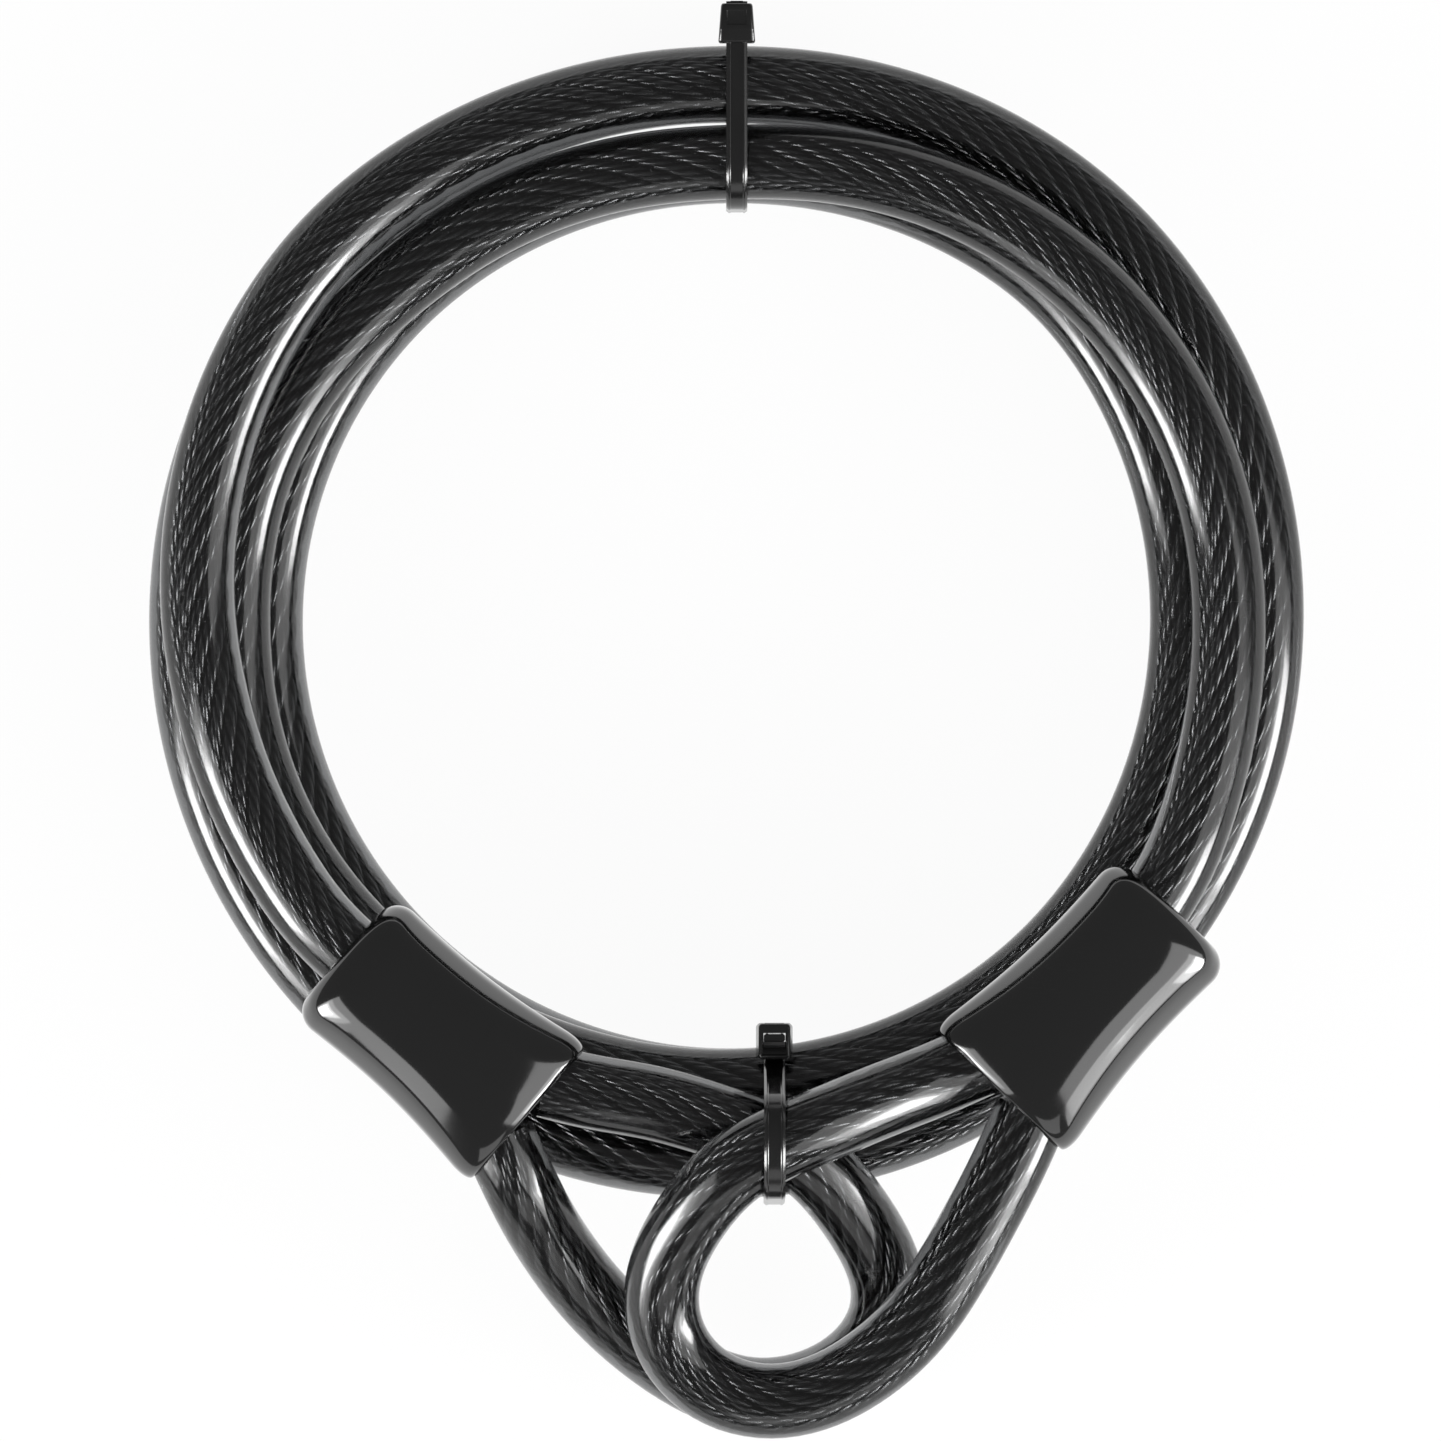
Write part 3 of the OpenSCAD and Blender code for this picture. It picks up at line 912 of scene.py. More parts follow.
@dataclass(frozen=True)
class Finish:
    """A material with one Principled shader, whose values vary with a pattern.

    The roughness runs between two limits and the colour between two shares of itself. The marks
    are the scales of the broad clouds and of the fine grain, and the strength of the scuffs. The
    relief is the strength and the depth of the bump.
    """

    name: str
    colour: Colour
    roughness: Pair
    shades: Pair
    marks: Triple
    relief: Pair
    metallic: float = 0.0
    transmission: float = 0.0
    ior: float = 1.5
    lacquer: float = 0.0
    lacquer_roughness: float = 0.03

    def pattern(self, tree: Tree) -> tuple[Socket, Socket, Socket]:
        """The values that the roughness, the height and the colour follow."""
        raise NotImplementedError

    def grain(self, tree: Tree, vector: Socket | None = None) -> Any:
        """Places the shared grain group in the material, with this finish's marks.

        Args:
            tree: The material's tree.
            vector: What the pattern lies on, or None for Object coordinates.

        Returns:
            The group's outputs.
        """
        if vector is None:
            vector = add(tree, "ShaderNodeTexCoord").outputs["Object"]
        cloud, grain, scuff = self.marks
        inputs = {"Vector": vector, "Cloud Scale": cloud, "Grain Scale": grain, "Scuff": scuff}
        return add(tree, "ShaderNodeGroup", inputs, node_tree=SurfaceGrain.group()).outputs

    def make(self) -> Material:
        """Builds the material.

        Returns:
            The material, whose pattern feeds its colour, roughness and normal.
        """
        material = bpy.data.materials.new(self.name)
        material.use_nodes = True
        tree = material.node_tree
        tree.nodes.clear()
        rough, height, shade = self.pattern(tree)
        dark, light = ((*(c * share for c in self.colour[:3]), 1.0) for share in self.shades)
        tint = add(tree, "ShaderNodeMix", {0: shade, 6: dark, 7: light}, data_type="RGBA")
        strength, depth = self.relief
        bump = {"Height": height, "Strength": strength, "Distance": depth}
        shader = add(
            tree,
            "ShaderNodeBsdfPrincipled",
            {
                "Base Color": tint.outputs[2],
                "Roughness": ranged(tree, rough, target=self.roughness),
                "Normal": first(tree, "ShaderNodeBump", bump),
                "Metallic": self.metallic,
                "Transmission Weight": self.transmission,
                "IOR": self.ior,
                "Coat Weight": self.lacquer,
                "Coat Roughness": self.lacquer_roughness,
            },
        )
        add(tree, "ShaderNodeOutputMaterial", {"Surface": shader.outputs[0]})
        return material


@dataclass(frozen=True)
class SmokedVinyl(Finish):
    """Clear vinyl with a dark smoke tint over the rope, with draw lines along the sheath."""

    name: str = "smoked_vinyl"
    colour: Colour = grey(0.14, -0.02)
    roughness: Pair = (0.08, 0.17)
    shades: Pair = (0.8, 1.2)
    marks: Triple = (45.0, 900.0, 0.35)
    relief: Pair = (0.12, 0.2 * MM)
    transmission: float = 1.0
    ior: float = 1.56
    line_stretch: Triple = (1.0, 1.0, 0.02)
    line_scale: float = 700.0
    line_detail: float = 2.0
    line_height: float = 0.25
    wave_height: float = 1.6

    def pattern(self, tree: Tree) -> tuple[Socket, Socket, Socket]:
        """Waves and draw lines for the height, and clouds and scuffs for the rest.

        Args:
            tree: The material's tree.

        Returns:
            The values for the roughness, the height and the colour.
        """
        place = mesh_vector(tree, "sheath_place")
        marks = self.grain(tree, place)
        stretched = vec(tree, "MULTIPLY", place, self.line_stretch)
        drawn = noise(tree, stretched, self.line_scale, self.line_detail)
        lines = calc(tree, "MULTIPLY", drawn, self.line_height)
        height = calc(tree, "MULTIPLY_ADD", marks["Cloud"], self.wave_height, lines)
        return calc(tree, "ADD", marks["Cloud"], marks["Scuffs"]), height, marks["Cloud"]


@dataclass(frozen=True)
class RopeSteel(Finish):
    """Steel wires wound across each strand, with painted shade in the grooves between their crowns."""

    name: str = "rope_steel"
    colour: Colour = grey(0.4)
    roughness: Pair = (0.12, 0.3)
    # The grooves keep only this share of the colour: painted shade
    shades: Pair = (0.06, 1.0)
    marks: Triple = (220.0, 2500.0, 0.6)
    relief: Pair = (1.0, 0.1 * MM)
    metallic: float = 1.0
    wires: int = 6
    wire_pitch: float = 2.83 * MM
    # How sharply the painted shade darkens the colour from the crowns into the grooves
    groove_shade: float = 1.5

    def pattern(self, tree: Tree) -> tuple[Socket, Socket, Socket]:
        """The wires of each strand, from the place that the mesh stores.

        Args:
            tree: The material's tree.

        Returns:
            The values for the roughness, the height and the colour.
        """
        place = mesh_vector(tree, "strand_place")
        x, y, run = add(tree, "ShaderNodeSeparateXYZ", {0: place}).outputs
        turned = calc(tree, "MULTIPLY", calc(tree, "ARCTAN2", y, x), self.wires / 2)
        along = calc(tree, "MULTIPLY", run, math.pi / self.wire_pitch)
        crown = calc(tree, "ABSOLUTE", calc(tree, "COSINE", calc(tree, "ADD", turned, along)))
        marks = self.grain(tree)
        worn = calc(tree, "ADD", marks["Grain"], marks["Scuffs"])
        # The colour follows the crowns, which paints shade into the grooves
        return worn, crown, calc(tree, "POWER", crown, self.groove_shade)


@dataclass(frozen=True)
class GlossMoulding(Finish):
    """Black gloss plastic with a soft moulded skin and light scuffs under a clear lacquer."""

    name: str = "gloss_moulding"
    colour: Colour = grey(0.003)
    roughness: Pair = (0.05, 0.17)
    shades: Pair = (1.0, 3.0)
    marks: Triple = (70.0, 1400.0, 0.5)
    relief: Pair = (0.12, 0.2 * MM)
    ior: float = 1.56
    lacquer: float = 0.85
    lacquer_roughness: float = 0.07
    wave_height: float = 2.0
    grain_height: float = 0.06

    def pattern(self, tree: Tree) -> tuple[Socket, Socket, Socket]:
        """Flow marks and grain for the height, and clouds and scuffs for the rest.

        Args:
            tree: The material's tree.

        Returns:
            The values for the roughness, the height and the colour.
        """
        marks = self.grain(tree)
        grain = calc(tree, "MULTIPLY", marks["Grain"], self.grain_height)
        height = calc(tree, "MULTIPLY_ADD", marks["Cloud"], self.wave_height, grain)
        return calc(tree, "ADD", marks["Cloud"], marks["Scuffs"]), height, marks["Scuffs"]


@dataclass(frozen=True)
class TieNylon(Finish):
    """Black nylon with a fine satin grain and rubbed places."""

    name: str = "tie_nylon"
    colour: Colour = grey(0.006)
    roughness: Pair = (0.1, 0.24)
    shades: Pair = (0.7, 1.6)
    marks: Triple = (160.0, 5200.0, 0.7)
    relief: Pair = (0.25, 0.04 * MM)
    ior: float = 1.56

    def pattern(self, tree: Tree) -> tuple[Socket, Socket, Socket]:
        """Grain for the height, grain and scuffs for the roughness, and clouds for the colour."""
        marks = self.grain(tree)
        return calc(tree, "ADD", marks["Grain"], marks["Scuffs"]), marks["Grain"], marks["Cloud"]


@dataclass(frozen=True)
class CrimpedAluminium(Finish):
    """Pressed aluminium with a fine grain."""

    name: str = "crimped_aluminium"
    colour: Colour = grey(0.7)
    roughness: Pair = (0.25, 0.5)
    shades: Pair = (0.7, 1.1)
    marks: Triple = (120.0, 1800.0, 0.8)
    relief: Pair = (0.3, 0.05 * MM)
    metallic: float = 1.0

    def pattern(self, tree: Tree) -> tuple[Socket, Socket, Socket]:
        """Grain for the roughness and the height, and clouds for the colour."""
        marks = self.grain(tree)
        return marks["Grain"], marks["Grain"], marks["Cloud"]


# -------- Cable --------


@dataclass(frozen=True)
class SheathPlan:
    """One length of sheath: its name, the CAD node that it stands for and its real length."""

    name: str
    node: str
    route: Points
    length: float


@dataclass
class Cable:
    """The wire rope and the three lengths of sheath over it."""

    layout: CableLayout
    sides: int = 32
    ring_step: float = 1.7 * MM
    strands: int = 8
    strand_sides: int = 10
    strand_lay: float = 46 * MM
    strand_step: float = 2.2 * MM
    rope_step: float = 1 * MM
    far: float = 10.0

    def sheath_recipe(self) -> Recipe:
        """The recipe that draws a sheath along a line, flat where it rests on the floor.

        Returns:
            The recipe, with the radius and the number of sides as its inputs.
        """
        recipe = Recipe("sheath", {"Radius": self.layout.diameter / 2, "Sides": self.sides})
        tree = recipe.tree
        tube = recipe.tube(recipe.upright_line(), "sheath_place")
        place = first(tree, "GeometryNodeInputPosition")
        level = vec(tree, "MAXIMUM", place, (-self.far, -self.far, 0.0))
        rested = add(tree, "GeometryNodeSetPosition", {"Geometry": tube, "Position": level})
        recipe.end_with(rested.outputs[0], smooth=True)
        return recipe

    def strand_recipe(self) -> Recipe:
        """The recipe that lays strands round a line, each on a right-hand helix.

        It stores each point's place round and along its strand, from which the material draws
        the wires.

        Returns:
            The recipe, with the count, radii and lay as its inputs.
        """
        outer = self.layout.rope_diameter / 2
        reach = outer / (1 + math.sin(math.pi / self.strands))
        recipe = Recipe(
            "strands",
            {
                "Strands": self.strands,
                "Reach": reach,
                "Radius": outer - reach,
                "Strand Lay": self.strand_lay,
                "Sides": self.strand_sides,
                "Step": self.strand_step,
            },
        )
        tree, strands = recipe.tree, recipe.size("Strands")
        line = {"Curve": recipe.upright_line(), "Length": recipe.size("Step")}
        even = first(tree, "GeometryNodeResampleCurve", line, mode="LENGTH")
        copies = {"Geometry": even, "Amount": strands}
        many = add(tree, "GeometryNodeDuplicateElements", copies, domain="SPLINE").outputs
        run = add(tree, "GeometryNodeSplineParameter").outputs["Length"]
        share = calc(tree, "DIVIDE", many["Duplicate Index"], strands)
        turns = calc(tree, "ADD", calc(tree, "DIVIDE", run, recipe.size("Strand Lay")), share)
        angle = calc(tree, "MULTIPLY", turns, FULL_TURN)
        normal = first(tree, "GeometryNodeInputNormal")
        tangent = first(tree, "GeometryNodeInputTangent")
        side = vec(tree, "CROSS_PRODUCT", tangent, normal)
        ahead = vec(tree, "SCALE", normal, calc(tree, "COSINE", angle))
        aside = vec(tree, "SCALE", side, calc(tree, "SINE", angle))
        out = vec(tree, "SCALE", vec(tree, "ADD", ahead, aside), recipe.size("Reach"))
        laid = first(tree, "GeometryNodeSetPosition", {"Geometry": many[0], "Offset": out})
        recipe.end_with(recipe.tube(laid, "strand_place"), smooth=True)
        return recipe

    def sheath_plans(self) -> list[SheathPlan]:
        """The three lengths of sheath, with their lengths along the middle.

        Returns:
            The plan of each.
        """
        lay = self.layout
        return [
            SheathPlan("coil_sheath", "coil_jacket", lay.coil_route(), 1.88),
            SheathPlan("left_eye_sheath", "left_eye_jacket", lay.eye_route(End.LEFT), 0.170),
            SheathPlan("right_eye_sheath", "right_eye_jacket", lay.eye_route(End.RIGHT), 0.167),
        ]

    def build(self, vinyl: Material, steel: Material) -> Iterable[Piece]:
        """Builds the sheaths and the rope, each attached to the root body in place of its CAD node.

        Args:
            vinyl: The sheath's material.
            steel: The rope's material.

        Yields:
            Each finished piece.
        """
        recipe = self.sheath_recipe()
        for plan in self.sheath_plans():
            route = self.layout.in_frame(plan.route, self.ring_step)
            piece = recipe.cook(plan.name, route, vinyl)
            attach(piece, "root")
            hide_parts(plan.node)
            yield piece
        route = self.layout.in_frame(self.layout.rope_route(), self.rope_step)
        piece = self.strand_recipe().cook("wire_rope_strands", route, steel)
        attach(piece, "root")
        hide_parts("wire_rope")
        yield piece


# -------- Covers --------


@dataclass
class MouldedCover:
    """A moulded cover over a ferrule, with the cable at one end and the eye's legs at the other."""

    layout: CableLayout
    end: End
    start: float = -1.4 * MM
    coil_width: float = 25.2 * MM
    eye_width: float = 29.4 * MM
    thickness: float = 16 * MM
    waist: float = 1.3 * MM
    coil_lip: float = 1.8 * MM
    eye_lip: float = 0.7 * MM
    coil_corner: float = 4.2 * MM
    eye_corner: float = 4 * MM
    eye_tuck: float = 1.4 * MM
    crown: float = 2.2 * MM
    coil_fall: float = 9 * MM
    eye_fall: float = 19 * MM
    fit: float = 0.15 * MM
    power: float = 2.4
    shoulder_level: float = 3.1 * MM
    shoulder_slope: float = 1.6
    shoulder_blend: float = 0.28 * MM
    corner_dip: float = 0.9 * MM
    outline_sides: int = 128
    sections: int = 72
    corner_step: int = 9
    ferrule_radius: float = 5.1 * MM
    pocket_gap: float = 0.3 * MM
    leg_back: float = 4 * MM
    reach: float = 16 * MM
    crease: float = 35.0

    @property
    def mount(self) -> Mount:
        """Where this cover sits."""
        return self.layout.mounts[self.end]

    @staticmethod
    def rounding(distance: float, reach: float, depth: float) -> float:
        """How far a rounded end of this reach and depth draws the outline in, at a distance."""
        share = max(1 - distance / reach, 0.0)
        return depth * (1 - math.sqrt(max(1 - share**2, 0.0)))

    def section(self, along: float) -> Points:
        """The cover's outline: a crowned form with a sloping shoulder along each side.

        Args:
            along: The distance from the cover's coil end.

        Returns:
            The outline's points as rows, in the model's frame.
        """
        length = self.mount.length
        u = max(along, 0.0) / length
        front, back = along - self.start, length - along
        half = (
            self.coil_width / 2
            + (self.eye_width - self.coil_width) / 2 * u
            - self.waist * math.sin(math.pi * u)
            - self.rounding(front, self.coil_corner, self.coil_corner)
            - self.rounding(back, self.eye_corner, self.eye_tuck)
        )
        low = (
            self.thickness / 2
            - self.rounding(front, self.coil_lip, self.coil_lip)
            - self.rounding(back, self.eye_lip, self.eye_lip)
        )
        full = self.thickness / 2 + self.crown
        high = (
            full
            - self.rounding(front, self.coil_fall, self.crown + self.coil_lip)
            - self.rounding(back, self.eye_fall, self.crown + self.eye_lip)
        )
        turn = (np.arange(self.outline_sides) + 0.5) * FULL_TURN / self.outline_sides
        x = half * np.sign(np.cos(turn)) * np.abs(np.cos(turn)) ** (2 / self.power)
        tall = np.where(np.sin(turn) > 0, high, low)
        z = tall * np.abs(np.sin(turn)) ** (2 / self.power)
        shoulder = (half - np.abs(x)) * self.shoulder_slope + self.shoulder_level * tall / full
        blend = self.shoulder_blend
        z = -blend * np.logaddexp(-z / blend, -shoulder / blend)
        inner = np.clip(x / half, 0.0, 1.0)
        dip = self.corner_dip * inner * (3 - 2 * inner) * u**2 * (np.sin(turn) > 0)
        rows = np.array([self.mount.place(along, w) for w in x])
        rows[:, 2] += np.sign(np.sin(turn)) * (z - dip * z / full)
        return rows + np.array(self.layout.coil_at)

    def stations(self) -> list[float]:
        """Where the outlines stand along the cover, close together on the lips.

        Returns:
            Their distances from the mouth, in order.
        """
        front, back = self.start, self.mount.length
        quarter = [1 - math.cos(math.radians(a)) for a in range(0, 90, self.corner_step)]
        rise = [front + self.coil_corner * q for q in quarter]
        fall = [back - self.eye_corner * q for q in reversed(quarter)]
        body = np.linspace(front + self.coil_corner, back - self.eye_corner, self.sections)
        return [*rise, *body, *fall]

    def tools(self) -> list[Piece]:
        """The forms to be cut out of the cover.

        Returns:
            The ferrule's pocket, then the bores for the sheaths.
        """
        m, at = self.mount, np.array(self.layout.coil_at)
        bore = self.layout.diameter / 2 + self.fit
        pocket = m.coil_depth - self.fit - bore * math.sin(math.radians(abs(m.tilt)))
        outline = stadium(self.ferrule_radius + self.pocket_gap, self.layout.rope_pitch)
        axes = (heading(m.turn + 90), UP, heading(m.turn))
        coil, eye = self.layout.coil_route(), self.layout.eye_route(self.end)
        bores = (
            ("cable_bore", coil if self.end is End.LEFT else coil[::-1], self.fit),
            ("inner_leg", eye, self.leg_back),
            ("outer_leg", eye[::-1], self.leg_back),
        )
        count = int(self.reach / self.layout.route_step)
        return [
            bar("pocket", outline, m.place(0, 0) + at, axes, (pocket, m.pocket_end())),
            *(sleeve(label, route[:count] + at, back, bore) for label, route, back in bores),
        ]

    def build(self, gloss: Material) -> Piece:
        """Builds the cover, bored for the cable, the legs and the ferrule.

        Args:
            gloss: Its material.

        Returns:
            The finished piece.
        """
        name = f"{self.end.value}_cover_shell"
        body = skinned(name, [self.section(s) for s in self.stations()])
        mesh = carve(body, self.tools())
        smooth_by_angle(mesh, self.crease)
        piece = placed(name, mesh, gloss)
        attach(piece, "root")
        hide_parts(f"{self.end.value}_cover")
        return piece


# -------- Ties --------


@dataclass(frozen=True)
class BeltPoint:
    """A circle that a strap bends round: its place in the tie's plane and its radius."""

    out: float
    up: float
    radius: float = 0.0


def belt(path: Sequence[BeltPoint], grow: float, step: float = 4.0) -> Points:
    """One face of a strap that runs straight between circles and bends round each.

    Args:
        path: The circles, counter-clockwise, with the strap's ends first and last.
        grow: How far the face stands off the circles.
        step: The largest angle between its points, in degrees.

    Returns:
        Its points as rows of out and up.
    """

    def normal(a: BeltPoint, b: BeltPoint) -> float:
        """The outward heading of the straight run between two circles.

        Args:
            a: The first circle.
            b: The next one.

        Returns:
            The heading, in degrees.
        """
        dx, dy = b.out - a.out, b.up - a.up
        lean = math.degrees(math.acos((a.radius - b.radius) / math.hypot(dx, dy)))
        return math.degrees(math.atan2(dy, dx)) - lean

    rows: list[Pair] = []
    for k, point in enumerate(path):
        start = normal(path[max(k - 1, 0)], path[max(k, 1)])
        stop = start
        if 0 < k < len(path) - 1:
            stop = normal(point, path[k + 1])
            while stop < start - ANGLE_SLACK:
                stop += 360
        count = max(1, math.ceil((stop - start) / step)) if stop > start + LEAST_BEND else 0
        for s in range(count + 1):
            angle = math.radians(start + (stop - start) * (s / count if count else 0.0))
            reach = point.radius + grow
            rows.append((point.out + reach * math.cos(angle), point.up + reach * math.sin(angle)))
    return np.array(rows)


@dataclass(frozen=True)
class HeadPlace:
    """Where a head sits: its slot's start, the slot's heading and the strap's outer side."""

    origin: Points
    along: Points
    outer: Points

    def axes(self) -> tuple[Points, Points, Points]:
        """The unit vectors of the head's width, height and length."""
        return RIGHT, self.outer, self.along


@dataclass
class CableTie:
    """A nylon tie round the coil: a strap, its teeth and a head. Its pawl is a CAD node."""

    layout: CableLayout
    name: str
    plane: float
    side: int
    width: float = 3.4 * MM
    thick: float = 1.2 * MM
    head_width: float = 5.9 * MM
    head_length: float = 6.2 * MM
    head_back: float = 2.9 * MM
    head_front: float = 2.5 * MM
    head_corner: float = 0.6 * MM
    head_taper: float = 0.45 * MM
    head_edge: float = 0.08 * MM
    corner_points: int = 6
    stub: float = 0.4 * MM
    slot_gap: float = 0.25 * MM
    snug: float = 0.06 * MM
    pawl_hinge: float = 1.5 * MM
    pawl_room: float = 2.3 * MM
    room_lid: float = 0.02 * MM
    root_gap: float = 0.12 * MM
    pawl_clear: float = 0.15 * MM
    cable_gap: float = 0.1 * MM
    past: float = 1 * MM
    panel_run: Pair = (0.45, 0.82)
    panel_share: float = 0.26
    panel_levels: Pair = (0.18 * MM, 2 * MM)
    strap_crease: float = 32.0
    head_crease: float = 35.0
    tooth_pitch: float = 1.05 * MM
    tooth_inset: float = 1.42 * MM
    tooth_length: float = 0.42 * MM
    tooth_height: float = 0.26 * MM
    tooth_sunk: float = 0.14
    tooth_turn: float = 2.0
    # One rail's outline: the distance in from the strap's side in mm, and the share of its thickness
    rail: tuple[Pair, ...] = (
        (0.7, 0.25), (0.7, 0.0), (0.1, 0.0), (0.0, 0.1), (0.0, 0.62),
        (0.04, 0.74), (0.36, 0.95), (0.44, 0.99), (0.6, 0.99), (0.74, 0.9),
    )
    # The head's outlines: the share of its length, and the offset from there, inset and swell in mm
    head_plan: tuple[tuple[float, float, float, float], ...] = (
        (0.0, 0.0, 0.25, 0.1), (0.0, 0.1, 0.1, 0.12), (0.0, 0.25, 0.0, 0.15),
        (0.32, -0.3, 0.0, 0.18), (0.32, 0.0, 0.0, 0.3), (0.32, 0.1, 0.0, 0.32),
        (1.0, -0.5, 0.0, 0.28), (1.0, -0.25, 0.04, 0.24), (1.0, -0.1, 0.11, 0.2),
        (1.0, 0.0, 0.2, 0.16),
    )

    def crossings(self, route: Points) -> list[BeltPoint]:
        """Where a route passes the tie's plane on the tie's side of the coil.

        Args:
            route: The cable's points, about the coil's centre.

        Returns:
            A circle for each passage, wide enough for the slanted cable.
        """
        found = []
        for a, b in zip(route[:-1], route[1:]):
            run = b - a
            if run[0] == 0 or not 0 <= (t := (self.plane - a[0]) / run[0]) < 1:
                continue
            at = a + t * run
            if at[1] * self.side > 0:
                slant = self.layout.diameter * np.linalg.norm(run)
                slant += self.width * np.linalg.norm(run[1:])
                found.append(
                    BeltPoint(at[1] * self.side, at[2], slant / 2 / abs(run[0]) + self.cable_gap)
                )
        return found

    def to_frame(self, out: float, up: float, across: float = 0.0) -> Points:
        """A point of the tie's plane, or beside it, in the model's frame."""
        return np.array([self.plane + across, out * self.side, up]) + np.array(self.layout.coil_at)

    def strap_mesh(self, path: Sequence[BeltPoint]) -> Mesh:
        """The strap: two raised rails on each face, with a sunk middle between them.

        Args:
            path: The circles that it bends round.

        Returns:
            The mesh.
        """
        right = [(self.width / 2 - inset * MM, share) for inset, share in self.rail]
        profile = [*reversed(right), *((-x, share) for x, share in right)]
        loops = [
            np.array([self.to_frame(*(a + (b - a) * share), w) for w, share in profile])
            for a, b in zip(belt(path, 0.0), belt(path, self.thick))
        ]
        mesh = skinned(self.name + "_strap", loops)
        smooth_by_angle(mesh, self.strap_crease)
        return mesh

    def tooth_recipe(self) -> Recipe:
        """The recipe that sets low teeth across the strap's sunk middle, at an even pitch.

        Returns:
            The recipe, with the teeth's pitch and sizes as its inputs.
        """
        sizes = {
            "Pitch": self.tooth_pitch,
            "Width": self.width - self.tooth_inset,
            "Length": self.tooth_length,
            "Height": self.tooth_height,
        }
        recipe = Recipe("teeth", sizes)
        tree, size = recipe.tree, recipe.size
        line = {"Curve": recipe.line, "Length": size("Pitch")}
        rows = add(tree, "GeometryNodeCurveToPoints", line, mode="LENGTH").outputs
        align, run = "FunctionNodeAlignRotationToVector", {"Vector": rows["Tangent"]}
        ahead = first(tree, align, run, axis="Y", pivot_axis="AUTO")
        across = {"Rotation": ahead, "Vector": (1.0, 0.0, 0.0)}
        turned = first(tree, align, across, axis="X", pivot_axis="Y")
        extent = combined(tree, X=size("Width"), Y=size("Length"), Z=size("Height"))
        block = first(tree, "GeometryNodeMeshCube", {"Size": extent})
        # The block narrows to a ridge on both of its faces
        place = first(tree, "GeometryNodeInputPosition")
        level = add(tree, "ShaderNodeSeparateXYZ", {0: place}).outputs[2]
        share = calc(tree, "DIVIDE", calc(tree, "ABSOLUTE", level), size("Height"))
        narrow = combined(tree, X=1.0, Y=calc(tree, "SUBTRACT", 1.0, share), Z=1.0)
        narrowed = {"Geometry": block, "Position": vec(tree, "MULTIPLY", place, narrow)}
        wedge = first(tree, "GeometryNodeSetPosition", narrowed)
        teeth = {"Points": rows[0], "Instance": wedge, "Rotation": turned}
        recipe.end_with(first(tree, "GeometryNodeInstanceOnPoints", teeth))
        return recipe

    def tooth_line(self, path: Sequence[BeltPoint]) -> Points:
        """The line under the teeth, a share of the strap's thickness above its inner face."""
        inner, outer = (belt(path, grow, self.tooth_turn) for grow in (0.0, self.thick))
        return np.array([self.to_frame(*p) for p in inner + (outer - inner) * self.tooth_sunk])

    def head_loop(self, place: HeadPlace, d: float, inset: float, swell: float) -> Points:
        """One rounded outline of the head.

        Args:
            place: Where the head sits.
            d: The distance along the slot.
            inset: How far the outline is drawn in.
            swell: How far its outer side stands out.

        Returns:
            Its points as rows.
        """
        corner = self.head_corner
        half = self.head_width / 2 - (self.head_taper * d / self.head_length + inset)
        low, high = -self.head_back + inset, self.head_front + swell - inset
        rows = []
        for cx, cy, start in (
            (half - corner, high - corner, 0), (-half + corner, high - corner, 90),
            (-half + corner, low + corner, 180), (half - corner, low + corner, 270),
        ):
            for a in np.radians(np.linspace(start, start + 90, self.corner_points)):
                w, t = cx + corner * math.cos(a), cy + corner * math.sin(a)
                rows.append(place.origin + d * place.along + w * RIGHT + t * place.outer)
        return np.array(rows)

    def head_mesh(self, place: HeadPlace) -> Mesh:
        """The head: a tapered block with rounded edges, bored for the strap and the pawl.

        Args:
            place: Where it sits.

        Returns:
            The mesh.
        """
        length, slot_w = self.head_length, self.width / 2
        loops = [
            self.head_loop(place, share * length + offset * MM, inset * MM, swell * MM)
            for share, offset, inset, swell in self.head_plan
        ]
        sunk, over = (self.head_front + level for level in self.panel_levels)
        cuts = (
            ("slot", (-self.past, length + self.past), slot_w + self.snug,
             (-self.slot_gap, self.thick + self.snug)),
            ("room", (self.pawl_hinge - self.root_gap, length + self.past), slot_w + self.slot_gap,
             (-self.pawl_room, -self.room_lid)),
            ("panel", (self.panel_run[0] * length, self.panel_run[1] * length),
             self.panel_share * self.head_width, (sunk, over)),
        )
        tools = [
            bar(name, oblong(half, levels), place.origin, place.axes(), run)
            for name, run, half, levels in cuts
        ]
        mesh = carve(skinned(self.name + "_head", loops), tools, self.head_edge)
        smooth_by_angle(mesh, self.head_crease)
        return mesh

    def head_place(self) -> HeadPlace:
        """Where the head sits."""
        raise NotImplementedError

    def strap_path(self) -> list[BeltPoint]:
        """The circles that the strap bends round."""
        raise NotImplementedError

    def build(self, nylon: Material) -> Iterable[Piece]:
        """Builds the strap, its teeth and the head.

        Args:
            nylon: Their material.

        Yields:
            Each finished piece.
        """
        path = self.strap_path()
        strap = placed(self.name + "_strap", self.strap_mesh(path), nylon)
        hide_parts(self.name)
        teeth = self.tooth_recipe().cook(self.name + "_teeth", self.tooth_line(path), nylon)
        head = placed(self.name + "_head", self.head_mesh(self.head_place()), nylon)
        for piece in (strap, teeth, head):
            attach(piece, "root")
            yield piece


